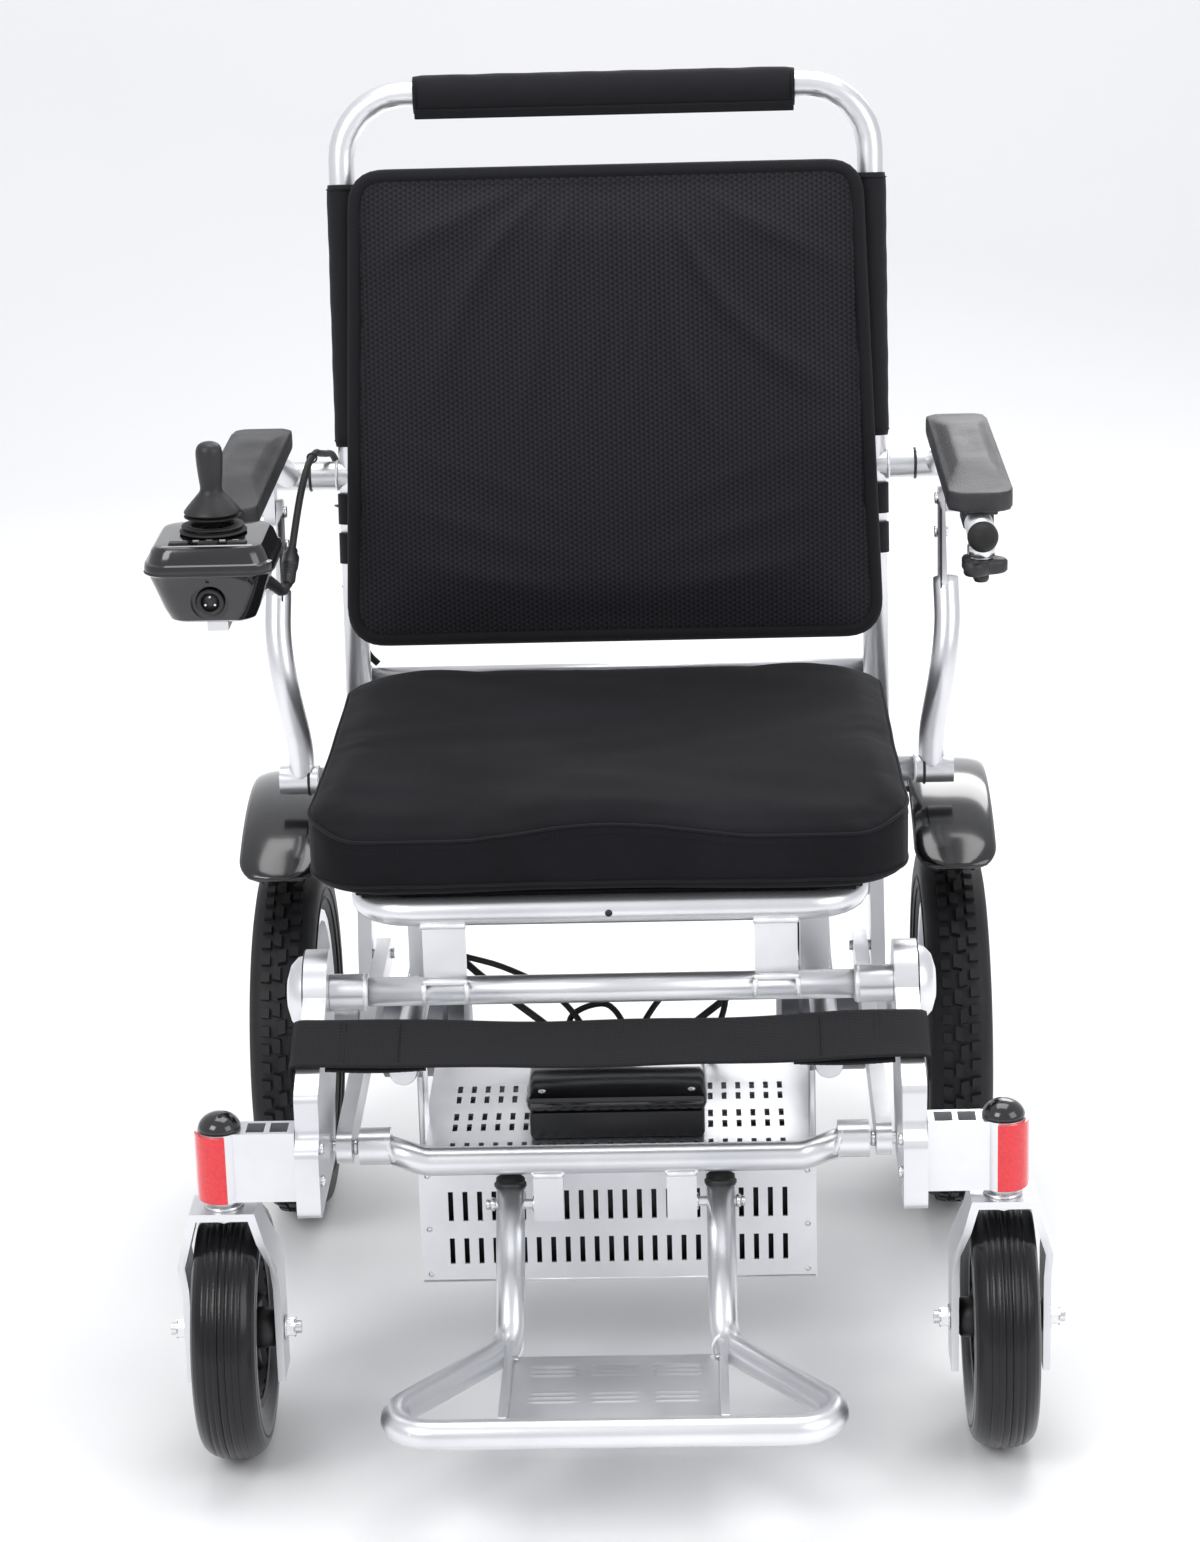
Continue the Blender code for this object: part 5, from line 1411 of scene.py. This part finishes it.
def joystick():
    """Housing with a rolled lip, a sloped deck of three buttons, a charge socket in an arched
    recess."""
    def ring(z, half_x, half_y, radius, shift=0.0):
        corners = [(STICK[0] - half_x, STICK[1] - half_y + shift),
            (STICK[0] + half_x, STICK[1] - half_y + shift),
                   (STICK[0] + half_x, STICK[1] + half_y + shift),
                       (STICK[0] - half_x, STICK[1] + half_y + shift)]
        path = rounded([(*corner, 0) for corner in corners], radius, 8, closed=True)
        return [at(p.x, p.y, z) for p in path]

    bm = bmesh.new()
    rows = [(0.6292, 0.020, 0.022, 0.008), (0.6292, 0.029, 0.031, 0.012),
        (0.6312, 0.0325, 0.0345, 0.014),
            (0.6400, 0.0365, 0.0385, 0.015), (0.6580, 0.0425, 0.0440, 0.016),
                (0.6672, 0.0458, 0.0468, 0.017),
            (0.6690, 0.0485, 0.0486, 0.018), (0.6735, 0.0490, 0.0490, 0.0185),
                (0.6765, 0.0484, 0.0485, 0.0185),
            (0.6775, 0.0462, 0.0472, 0.0180), (0.6862, 0.0432, 0.0455, 0.0170),
                (0.6892, 0.0405, 0.0435, 0.0160),
            (0.6898, 0.0360, 0.0395, 0.0140), (0.6898, 0.0200, 0.0220, 0.0080)]
    rings = [[bm.verts.new(place) for place in ring(*row)] for row in rows]
    for low, high in zip(rings, rings[1:]):
        count = len(low)
        for a in range(count):
            b = (a + 1) % count
            bm.faces.new((low[a], low[b], high[b], high[a]))
    bm.faces.new(rings[0][::-1])
    bm.faces.new(rings[-1])
    shell = mesh_object("joystick_shell", bm)
    cutters = []
    well = at(STICK[0], KNOB_Y, 0.655)
    cutters.append(bare_rod("cutter", well, well + Vector((0, 0, 0.05)), 0.0162, 40))
    for x in (-0.022, 0, 0.022):
        centre = at(STICK[0] + x, -0.3495, 0.6905)
        cutters.append(block("cutter", centre - Vector((0.0077, 0.0042, 0.0042)),
                             centre + Vector((0.0077, 0.0042, 0.0042)), 0.0006, 2))
    arch = at(STICK[0], -0.374, 0.646)
    recess = bare_rod("cutter", arch, arch + Vector((0, 0.020, 0)), 0.0145, 40)
    cutters.append(recess)
    pin = at(STICK[0], -0.3720, 0.6645)
    cutters.append(bare_rod("cutter", pin, pin + Vector((0, 0.010, 0)), 0.0016, 16))
    for cutter in cutters:
        boolean = shell.modifiers.new("cut", "BOOLEAN")
        boolean.solver = "EXACT"
        boolean.object = cutter
        boolean.operation = "DIFFERENCE"
        apply_modifiers(shell)
        bpy.data.objects.remove(cutter)
    piece(shell, GLOSS, "arm_left", "gloss_plastic", smooth=False)
    smooth_by_angle(shell)
    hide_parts("joystick_housing")
    socket = []
    mouth = at(STICK[0], -0.3560, 0.6460)
    socket.append(torus(mouth, (0, 1, 0), 0.0090, 0.0022, 40, 10))
    socket.append(bare_rod("socket", mouth + Vector((0, 0.001, 0)), mouth + Vector((0, 0.006, 0)),
        0.0088, 32))
    merged("charge_socket", socket, MATTE, "arm_left", "matte_plastic")
    pins = []
    for number in range(3):
        angle = TAU * number / 3 + math.pi / 2
        spot = mouth + Vector((0.0042 * math.cos(angle), -0.0010, 0.0042 * math.sin(angle)))
        pins.append(bare_rod("pin", spot, spot + Vector((0, 0.004, 0)), 0.0011, 12))
    merged("charge_socket_pins", pins, STEEL, "arm_left", "steel")
    panel = block("panel", at(STICK[0] - 0.034, -0.3585, 0.6893),
        at(STICK[0] + 0.034, -0.3560, 0.6902), 0.0003, 2)
    lamps = []
    for number in range(5):
        x = STICK[0] - 0.020 + 0.010 * number
        lamps.append(block("lamp", at(x - 0.0024, -0.3420, 0.6895), at(x + 0.0024, -0.3402, 0.6905),
            0.0003, 2))
    merged("joystick_lamps", lamps + [panel], GREY_PLUG, "arm_left", "matte_plastic")
    seam = rounded([at(STICK[0] + sx * 0.0489, STICK[1] + sy * 0.0489, 0.6700)
                    for sx, sy in ((-1, -1), (1, -1), (1, 1), (-1, 1))], 0.0185, 8, closed=True)
    bm = bmesh.new()
    sweep(bm, seam, circle(0.0007, 6), closed=True)
    piece(mesh_object("joystick_seam", bm), MATTE, "arm_left", "matte_plastic")
    foot = at(STICK[0], KNOB_Y, DECK_Z)
    rings = (
        ("base", "arm_left", [(0.0150, 0.0004), (0.0258, 0.0004), (0.0262, 0.0018),
            (0.0240, 0.0034),
                              (0.0150, 0.0036), (0.0150, 0.0004)]),
        ("middle", None, [(0.0160, 0.0044), (0.0238, 0.0050), (0.0245, 0.0055), (0.0238, 0.0062),
                          (0.0160, 0.0070), (0.0160, 0.0044)]),
        ("top", "stick", [(0.0040, 0.0060), (0.0076, 0.0062), (0.0080, 0.0100), (0.0190, 0.0116),
                          (0.0222, 0.0126), (0.0220, 0.0136), (0.0080, 0.0141), (0.0040, 0.0141),
                          (0.0040, 0.0060)]),
    )
    for label, body, profile in rings:
        fold = turned(f"bellows_{label}", profile, foot, (0, 0, 1), RUBBER, None, "rubber", 48)
        subdivide(fold)
        apply_modifiers(fold)
        if body:
            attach(fold, body)
        else:
            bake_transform(fold)
        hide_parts("joystick_boot")
    base = at(STICK[0], KNOB_Y, 0.665)
    knob = turned("joystick_handle", [
        (0, 0.0950), (0.0042, 0.0947), (0.0078, 0.0932), (0.0097, 0.0902), (0.0104, 0.0860),
            (0.0100, 0.0780),
        (0.0092, 0.0680), (0.0080, 0.0600), (0.0084, 0.0570), (0.0110, 0.0540), (0.0165, 0.0480),
        (0.0212, 0.0425), (0.0219, 0.0408), (0.0210, 0.0400), (0.0100, 0.0402), (0.0042, 0.0398),
        (0.0040, 0.0060), (0.0060, 0.0020), (0.0060, -0.0020), (0.0040, -0.0048), (0, -0.0050)],
        base, (0, 0, 1), MATTE, None, None, 48)
    subdivide(knob)
    apply_modifiers(knob)
    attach(knob, "stick")
    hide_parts("joystick_knob")


def smooth_by_angle(obj, limit=0.55):
    bm = bmesh.new()
    bm.from_mesh(obj.data)
    for face in bm.faces:
        face.smooth = True
    for edge in bm.edges:
        if len(edge.link_faces) == 2 and edge.calc_face_angle(0) > limit:
            edge.smooth = False
    bm.to_mesh(obj.data)
    bm.free()


def clamp_accessory():
    """Tri-lobe clamp knob, rubber button and collar under the right armrest."""
    x, y = 0.292, -0.262
    bm = bmesh.new()
    rings = []
    for z, grow in ((0.6322, 0.80), (0.6328, 0.92), (0.6345, 1.0), (0.6415, 1.0), (0.6432, 0.93),
        (0.6440, 0.80)):
        ring = []
        for n in range(96):
            angle = TAU * n / 96
            radius = (0.0165 + 0.0040 * math.cos(3 * angle)) * grow
            ring.append(bm.verts.new(at(x + radius * math.cos(angle), y + radius * math.sin(angle),
                z)))
        rings.append(ring)
    for low, high in zip(rings, rings[1:]):
        for n in range(96):
            bm.faces.new((low[n], low[(n + 1) % 96], high[(n + 1) % 96], high[n]))
    bm.faces.new(rings[0][::-1])
    bm.faces.new(rings[-1])
    knob = piece(mesh_object("clamp_tri_knob", bm), MATTE, "clamp_knob", "matte_plastic")
    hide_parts("clamp_knob")
    turned("clamp_stud_cap", [(0, -0.0078), (0.0050, -0.0072), (0.0062, -0.0050), (0.0062, 0.0),
        (0, 0.0)],
           at(x, y, 0.6325), (0, 0, 1), MATTE, "clamp_knob", "matte_plastic", 24)
    turned("clamp_collar", [(0.0092, 0.0), (0.0108, 0.0010), (0.0108, 0.0085), (0.0100, 0.0095),
        (0.0092, 0.0)],
           at(x, y, 0.6455), (0, 0, 1), STEEL, "arm_right", "steel", 40)
    cap = turned("rubber_button", [
        (0, -0.0165), (0.0055, -0.0158), (0.0098, -0.0130), (0.0120, -0.0080), (0.0122, -0.0030),
        (0.0112, 0.0), (0, 0.0)], at(x, -0.2735, 0.6645), (0, 1, 0), RUBBER, None, None, 40)
    subdivide(cap)
    apply_modifiers(cap)
    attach(cap, "arm_right")


LEAD_ROUTE = (
    (-0.264, -0.2690, 0.6420), (-0.257, -0.2500, 0.6300), (-0.2530, -0.2300, 0.6200),
    (-0.2525, -0.1950, 0.6200), (-0.2525, -0.1400, 0.6420), (-0.2525, -0.0700, 0.6620),
    (-0.2525, 0.0000, 0.6700), (-0.2525, 0.0600, 0.6660), (-0.2525, 0.0950, 0.6580),
    (-0.2500, 0.1180, 0.6525), (-0.2455, 0.1340, 0.6480), (-0.2420, 0.1450, 0.6340),
    (-0.2360, 0.1430, 0.6100), (-0.2300, 0.1330, 0.5700), (-0.2280, 0.1260, 0.5200),
    (-0.2260, 0.1200, 0.4850), (-0.2200, 0.1180, 0.4700), (-0.2120, 0.1150, 0.4620),
)


def joystick_lead():
    """The lead from the joystick, along the arm and down the upright, as one piece over the
    arm's joint."""
    path = [at(*p) for p in smooth_path(LEAD_ROUTE, 8)]
    bm = bmesh.new()
    sweep(bm, path, circle(0.003, 16))
    lead = piece(mesh_object("joystick_cable", bm), RUBBER, None, "rubber")
    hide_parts("joystick_lead", "back_lead")
    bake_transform(lead)
    low, high = at(-0.2525, -0.2050, 0.6190), at(-0.2525, -0.1550, 0.6370)
    along = (high - low).normalized()
    profile = [(0.0031, 0.0), (0.0042, 0.001), (0.0045, 0.006)]
    for number in range(5):
        profile += [(0.0060, 0.0075 + number * 0.0032), (0.0060, 0.0089 + number * 0.0032),
                    (0.0048, 0.0093 + number * 0.0032), (0.0048, 0.0103 + number * 0.0032)]
    profile += [(0.0066, 0.0245), (0.0068, 0.0270), (0.0068, 0.0385), (0.0060, 0.0400),
        (0.0052, 0.0402),
                (0.0048, 0.0480), (0.0031, 0.0520)]
    plug = turned("inline_connector", profile, low, along, MATTE, "arm_left", "matte_plastic", 32)
    boot_path = path[:14]
    radii = [0.0052 - 0.0018 * n / 13 + (0.0006 if n % 2 else 0) for n in range(14)]
    relief = tube("lead_strain_relief", boot_path, 1.0, RUBBER, "arm_left", "rubber", 20,
        radii=radii)
    ties = [torus(at(-0.2525, 0.0300, 0.6686), (0, 1, 0), 0.0040, 0.0008, 20, 6)]
    merged("lead_tie_arm", ties, MATTE, "arm_left", "matte_plastic")
    down = []
    for z, y in ((0.600, 0.1412), (0.530, 0.1272)):
        down.append(torus(at(-0.2330 if z > 0.56 else -0.2284, y - 0.004, z), (0.1, 0.16, 1),
            0.0125, 0.0008, 32, 6))
    merged("lead_ties_back", down, MATTE, "backrest", "matte_plastic")


joystick()
clamp_accessory()
joystick_lead()


# ---------------------------------------------------------------- tray, footplate, fittings

def slotted_tray():
    """Folded sheet tray: a front face with two rows of slots, a vented shelf on top, side walls."""
    low_x, high_x = -0.157, 0.157
    front, rear, bottom, top = -0.353, -0.105, 0.081, 0.180
    thick = 0.0022
    pitch, slot, rows = 0.0115, 0.0040, ((0.097, 0.119), (0.134, 0.159))
    slots = 24

    def perforated(bm, place, columns, lines, depth):
        """A sheet with holes: columns and lines are the breaks, and a cell (odd, odd) is a hole."""
        made = {}

        def vert(i, j, side):
            key = (i, j, side)
            if key not in made:
                made[key] = bm.verts.new(place(columns[i], lines[j], depth * side))
            return made[key]

        def solid(i, j):
            inside = 0 <= i < len(columns) - 1 and 0 <= j < len(lines) - 1
            return inside and not (i % 2 and j % 2)

        for i in range(len(columns) - 1):
            for j in range(len(lines) - 1):
                if not solid(i, j):
                    continue
                for side in (0, 1):
                    bm.faces.new([vert(i, j, side), vert(i + 1, j, side), vert(i + 1, j + 1, side),
                                  vert(i, j + 1, side)])
                for di, dj, a, b in ((-1, 0, (i, j), (i, j + 1)),
                    (1, 0, (i + 1, j), (i + 1, j + 1)),
                                     (0, -1, (i, j), (i + 1, j)),
                                         (0, 1, (i, j + 1), (i + 1, j + 1))):
                    if not solid(i + di, j + dj):
                        bm.faces.new([vert(*a, 0), vert(*b, 0), vert(*b, 1), vert(*a, 1)])

    columns = [low_x]
    for number in range(slots):
        x = (number - (slots - 1) / 2) * pitch
        columns += [x - slot / 2, x + slot / 2]
    columns.append(high_x)
    bm = bmesh.new()
    lines = [bottom] + [z for row in rows for z in row] + [top]
    perforated(bm, lambda x, z, d: at(x, front + d, z), columns, lines, thick)
    shelf_rows = ((-0.340, -0.326), (-0.318, -0.304), (-0.280, -0.266), (-0.258, -0.244),
        (-0.222, -0.208), (-0.200, -0.186))
    shelf = [front + thick] + [y for row in shelf_rows for y in row] + [rear]
    perforated(bm, lambda x, y, d: at(x, y, top - thick + d), columns, shelf, thick)
    tray = mesh_object("vented_tray", bm)
    parts = [tray]
    for side in (-1, 1):
        parts.append(block("wall", at(side * 0.1548, front + thick, bottom),
            at(side * 0.157, rear, top - thick),
                           0.0004, 1))
        parts.append(block("strap", at(side * 0.1587, -0.305, 0.1785),
            at(side * 0.1540, -0.255, 0.238), 0.0010, 2))
    parts.append(block("floor", at(low_x + thick, front + thick, bottom),
        at(high_x - thick, rear, bottom + thick),
                       0.0004, 1))
    joined = merged("battery_tray_sheet", parts, ALUMINIUM, "rear_frame", "aluminium")
    smooth_by_angle(joined)
    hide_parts("battery_tray")
    edges = [bare_rod("hem", at(low_x + 0.001, front + 0.001, z),
        at(high_x - 0.001, front + 0.001, z), 0.0014, 12)
             for z in (bottom + 0.0012, top - 0.0012)]
    merged("tray_hems", edges, ALUMINIUM, "rear_frame", "aluminium")
    rivets = []
    for x in (-0.150, 0.150):
        for z in (0.088, 0.127, 0.173):
            rivets.append(bare_rod("rivet", at(x, front - 0.0006, z), at(x, front + 0.002, z),
                0.0024, 20, 0.0005))
    merged("tray_rivets", rivets, STEEL, "rear_frame", "steel")


def footplate():
    """Pressed tread plate: two rows of three raised panels, each with two dashes."""
    edge, front, rear = 0.0780, -0.6055, -0.4935
    bm = bmesh.new()
    columns, rows = 104, 76
    tilt = Matrix.Translation(at(0, -0.55, 0.0865)) @ Matrix.Rotation(-0.03, 4, "X")

    def height(x, y):
        rise = 0.0
        for row in (0, 1):
            for dash in (-0.0075, 0.0, 0.0075):
                for column in (-1, 0, 1):
                    middle_y = -0.566 + 0.046 * row + dash
                    along = step_between(0.0185 - abs(x - column * 0.046), 0.0, 0.003)
                    across = step_between(0.0022 - abs(y - middle_y), 0.0, 0.0016)
                    rise = max(rise, along * across)
        return 0.0009 * rise

    grid = []
    for j in range(rows + 1):
        y = front + (rear - front) * j / rows
        grid.append([bm.verts.new(tilt @ Vector((-edge + 2 * edge * i / columns, y + 0.55,
                                                  -0.0005 + height(-edge + 2 * edge * i / columns,
                                                      y))))
                     for i in range(columns + 1)])
    for low, high in zip(grid, grid[1:]):
        for i in range(columns):
            bm.faces.new((low[i], low[i + 1], high[i + 1], high[i]))
    plate = mesh_object("pressed_tread", bm)
    solid = plate.modifiers.new("thickness", "SOLIDIFY")
    solid.thickness = 0.0022
    solid.offset = -1
    apply_modifiers(plate)
    piece(plate, ALUMINIUM, "footrest", "aluminium")
    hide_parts("footplate")
    for polygon in plate.data.polygons:
        polygon.use_smooth = abs(polygon.normal.z) > 0.3


def bolt_head(parts, place, out, radius, height, hexagon=True):
    out = Vector(out).normalized()
    parts.append(bare_rod("head", place, place + out * height, radius, 6 if hexagon else 28,
        height * 0.25))


def fittings():
    """Bolts, washers, caps and plugs that the frame shows at its joints."""
    steel = {body: [] for body in ("seat", "front_frame", "backrest", "footrest", "rear_frame",
        "arm_left",
                                   "arm_right", "post_left", "post_right")}
    black = {body: [] for body in steel}
    for name, side in SIDES:
        out = Vector((side, 0, 0))
        cap_place = at(side * 0.2805, *POST_PIVOT)
        black["seat"].append(bare_rod("cap", cap_place, cap_place + out * 0.0045, 0.0118, 36,
            0.0012))
        black["seat"].append(torus(at(side * 0.2620, *POST_PIVOT), (1, 0, 0), 0.0126, 0.0012, 40,
            8))
        stub = at(side * 0.2980, *ARM_PIVOT)
        bolt_head(black["backrest"], stub, out, 0.0108, 0.0048, False)
        black["backrest"].append(torus(at(side * 0.2638, *ARM_PIVOT), (1, 0, 0), 0.0126, 0.0013, 40,
            8))
        black["backrest"].append(bare_rod("plug", upright(side * BACK_X, 0.3862),
            upright(side * BACK_X, 0.3915),
                                          0.0113, 32, 0.0015))
        for drop, reach in ((0.0, 0.0), (0.030, 0.004)):
            spot = at(side * 0.2813, ARM_LUG[0] + reach, ARM_LUG[1] - drop)
            bolt_head(steel[f"post_{name}"], spot, out, 0.0048, 0.0040)
            inner = at(side * 0.2768, ARM_LUG[0] + reach, ARM_LUG[1] - drop)
            bolt_head(steel[f"post_{name}"], inner, -out, 0.0052, 0.0034, False)
        bolt_head(steel["front_frame"], at(side * 0.2350, -0.4750, 0.2350), out, 0.0050, 0.0040)
        for z in (0.236, 0.262):
            bolt_head(steel["front_frame"], at(side * 0.2172, -0.5020, z), -out, 0.0048, 0.0035)
        bolt_head(steel["rear_frame"], at(side * 0.2165, *REAR_PIVOT), -out, 0.0001 + 0.0068,
            0.0030)
        for y in (0.012, 0.034):
            bolt_head(steel["rear_frame"], at(side * 0.2342, y, 0.340), out, 0.0038, 0.0026, False)
            bolt_head(steel["rear_frame"], at(side * 0.2342, y, 0.356), out, 0.0038, 0.0026, False)
        bolt_head(steel["seat"], at(side * 0.1952, *BACK_PIVOT), -out, 0.0070, 0.0045)
        bolt_head(steel["seat"], at(side * 0.1952, *REAR_PIVOT), -out, 0.0070, 0.0045)
        bolt_head(steel["front_frame"], at(side * 0.2012, *LINK_FRONT), -out, 0.0068, 0.0040)
        bolt_head(steel["footrest"], at(side * 0.0930, *FOOT_PIVOT), out, 0.0056, 0.0042)
        bolt_head(steel["front_frame"], at(side * 0.0975, *FOOT_PIVOT), out, 0.0045, 0.0030)
        ring = torus(at(side * 0.0630, *FOOT_PIVOT), (1, 0, 0), 0.0056, 0.0012, 28, 8)
        steel["front_frame"].append(ring)
        top = FOOT_PIVOT[1] + 0.0105
        bumper = at(side * 0.0815, FOOT_PIVOT[0] + 0.0075, top)
        black["footrest"].append(bare_rod("cap", bumper, bumper + Vector((0, 0.0012, 0.0050)),
            0.0126, 32, 0.0014))
        for y in (-0.612, -0.500):
            bolt_head(steel["footrest"], at(side * 0.0770, y, 0.0858), (0, 0, 1), 0.0028, 0.0012,
                False)
        black["front_frame"].append(torus(at(side * 0.2356, *FRONT_PIVOT), (1, 0, 0), 0.0330,
            0.0006, 64, 6))
    black["seat"].append(bare_rod("plug", at(0, -0.3816, SEAT_RAIL_Z), at(0, -0.3790, SEAT_RAIL_Z),
        0.0028, 20))
    for body, parts in steel.items():
        if parts:
            merged(f"bolts_{body}", parts, STEEL, body, "steel")
    for body, parts in black.items():
        if parts:
            merged(f"caps_{body}", parts, MATTE, body, "matte_plastic")


def domes():
    """Dark dome caps over the caster stems, in place of the plain turned ones."""
    for name, side in SIDES:
        dome = turned(f"stem_dome_{name}", [
            (0, 0.0128), (0.0045, 0.0124), (0.0090, 0.0108), (0.0130, 0.0080), (0.0156, 0.0042),
                (0.0163, 0.0012),
            (0.0165, 0.0), (0, 0.0)], at(side * CASTER_X, -0.495, 0.2774), (0, 0, 1), GLOSS, None,
                None, 48)
        subdivide(dome)
        apply_modifiers(dome)
        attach(dome, "front_frame")
        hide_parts(f"beam_cap_{name}")


slotted_tray()
footplate()
fittings()
domes()


# ---------------------------------------------------------------- fenders, brackets, cables

def fenders():
    """Moulded fenders with rounded corners and a rolled edge, and a black bracket below."""
    centre_y, centre_z, radius = 0.030, 0.135, 0.2448
    columns, rows = 24, 60
    for name, side in SIDES:
        bm = bmesh.new()
        grid = []
        for j in range(rows + 1):
            v = -1 + 2 * j / rows
            line = []
            for i in range(columns + 1):
                u = -1 + 2 * i / columns
                corner = max(0.0, abs(v) - 0.82) / 0.18
                half = 0.0345 * (1 - 0.62 * (1 - math.sqrt(max(0.0, 1 - corner ** 2))))
                x = 0.285 + u * half
                angle = v * 0.592
                crown = 0.0040 * abs(u) ** 4 + 0.0020 * abs(v) ** 12
                r = radius - crown
                line.append(bm.verts.new(at(side * x, centre_y + r * math.sin(angle),
                                            centre_z + r * math.cos(angle))))
            grid.append(line)
        for low, high in zip(grid, grid[1:]):
            for i in range(columns):
                bm.faces.new((low[i], low[i + 1], high[i + 1], high[i]))
        shell = mesh_object(f"fender_shell_{name}", bm)
        solid = shell.modifiers.new("thickness", "SOLIDIFY")
        solid.thickness = 0.0032
        solid.offset = -1
        apply_modifiers(shell)
        piece(shell, GLOSS, "rear_frame", "gloss_plastic")
        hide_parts(f"fender_{name}")
        parts = [block("foot", at(side * 0.2293, 0.000, 0.325), at(side * 0.2343, 0.046, 0.377),
            0.0014),
                 block("arm", at(side * 0.2293, 0.002, 0.3690), at(side * 0.2620, 0.044, 0.3745),
                     0.0014)]
        merged(f"fender_bracket_{name}", parts, MATTE, "rear_frame", "matte_plastic")


def arm_brackets():
    """Black plates that hold each arm pad and take the top of its post."""
    for name, side in SIDES:
        parts = [block("plate", at(side * 0.2758, -0.036, 0.552), at(side * 0.2772, 0.004, 0.628),
            0.0005, 2)]
        parts.append(block("channel", at(side * 0.2800, -0.236, 0.6600),
            at(side * 0.3040, -0.196, 0.6765), 0.0020))
        parts.append(block("channel", at(side * 0.2800, -0.050, 0.6600),
            at(side * 0.3040, -0.010, 0.6765), 0.0020))
        merged(f"arm_channels_{name}", parts[1:], MATTE, f"arm_{name}", "matte_plastic")
        merged(f"post_plate_{name}", parts[:1], MATTE, f"post_{name}", "matte_plastic")


def wiring():
    """Cables from the controller's rear to the motors and up the left rail, with two plugs."""
    runs = [
        (0.0032, [(-0.050, -0.146, 0.198), (-0.060, -0.118, 0.204), (-0.095, -0.090, 0.222),
            (-0.135, -0.060, 0.246),
                  (-0.152, -0.020, 0.262), (-0.158, 0.000, 0.200), (-0.150, 0.000, 0.185)]),
        (0.0032, [(0.050, -0.146, 0.198), (0.060, -0.118, 0.204), (0.095, -0.090, 0.222),
            (0.135, -0.060, 0.246),
                  (0.152, -0.020, 0.262), (0.158, 0.000, 0.200), (0.150, 0.000, 0.185)]),
        (0.0026, [(-0.030, -0.146, 0.200), (-0.034, -0.120, 0.210), (-0.060, -0.100, 0.232),
            (-0.100, -0.085, 0.248),
                  (-0.150, -0.060, 0.256), (-0.1565, -0.020, 0.266)]),
        (0.0026, [(0.020, -0.146, 0.200), (0.022, -0.125, 0.214), (0.050, -0.105, 0.238),
            (0.088, -0.110, 0.232),
                  (0.080, -0.120, 0.196), (0.070, -0.117, 0.1835)]),
        (0.0026, [(0.002, -0.146, 0.196), (0.004, -0.124, 0.206), (-0.012, -0.110, 0.222),
            (-0.040, -0.112, 0.214),
                  (-0.045, -0.120, 0.192), (-0.045, -0.118, 0.1835)]),
    ]
    for number, (radius, route) in enumerate(runs):
        tube(f"harness_{number}", smooth_path([at(*p) for p in route]), radius, RUBBER,
            "rear_frame", "rubber", 14)
    plugs = ((RED_PLUG, "red", 0.030), (GREY_PLUG, "grey", -0.012))
    for finish, label, x in plugs:
        body = [block("plug", at(x - 0.008, -0.1435, 0.190), at(x + 0.008, -0.126, 0.202), 0.0016)]
        for offset in (-0.004, 0.004):
            body.append(bare_rod("pin", at(x + offset, -0.1262, 0.196),
                at(x + offset, -0.120, 0.196), 0.0026, 16, 0.0006))
        merged(f"{label}_plug", body, finish, "rear_frame", "matte_plastic")
    screws = []
    for x in (-0.060, 0.060):
        for y in (-0.292, -0.154):
            screws.append(bare_rod("screw", at(x, y, 0.2178), at(x, y, 0.2190), 0.0030, 24, 0.0004))
    merged("controller_screws", screws, STEEL, "rear_frame", "steel")


fenders()
arm_brackets()
wiring()
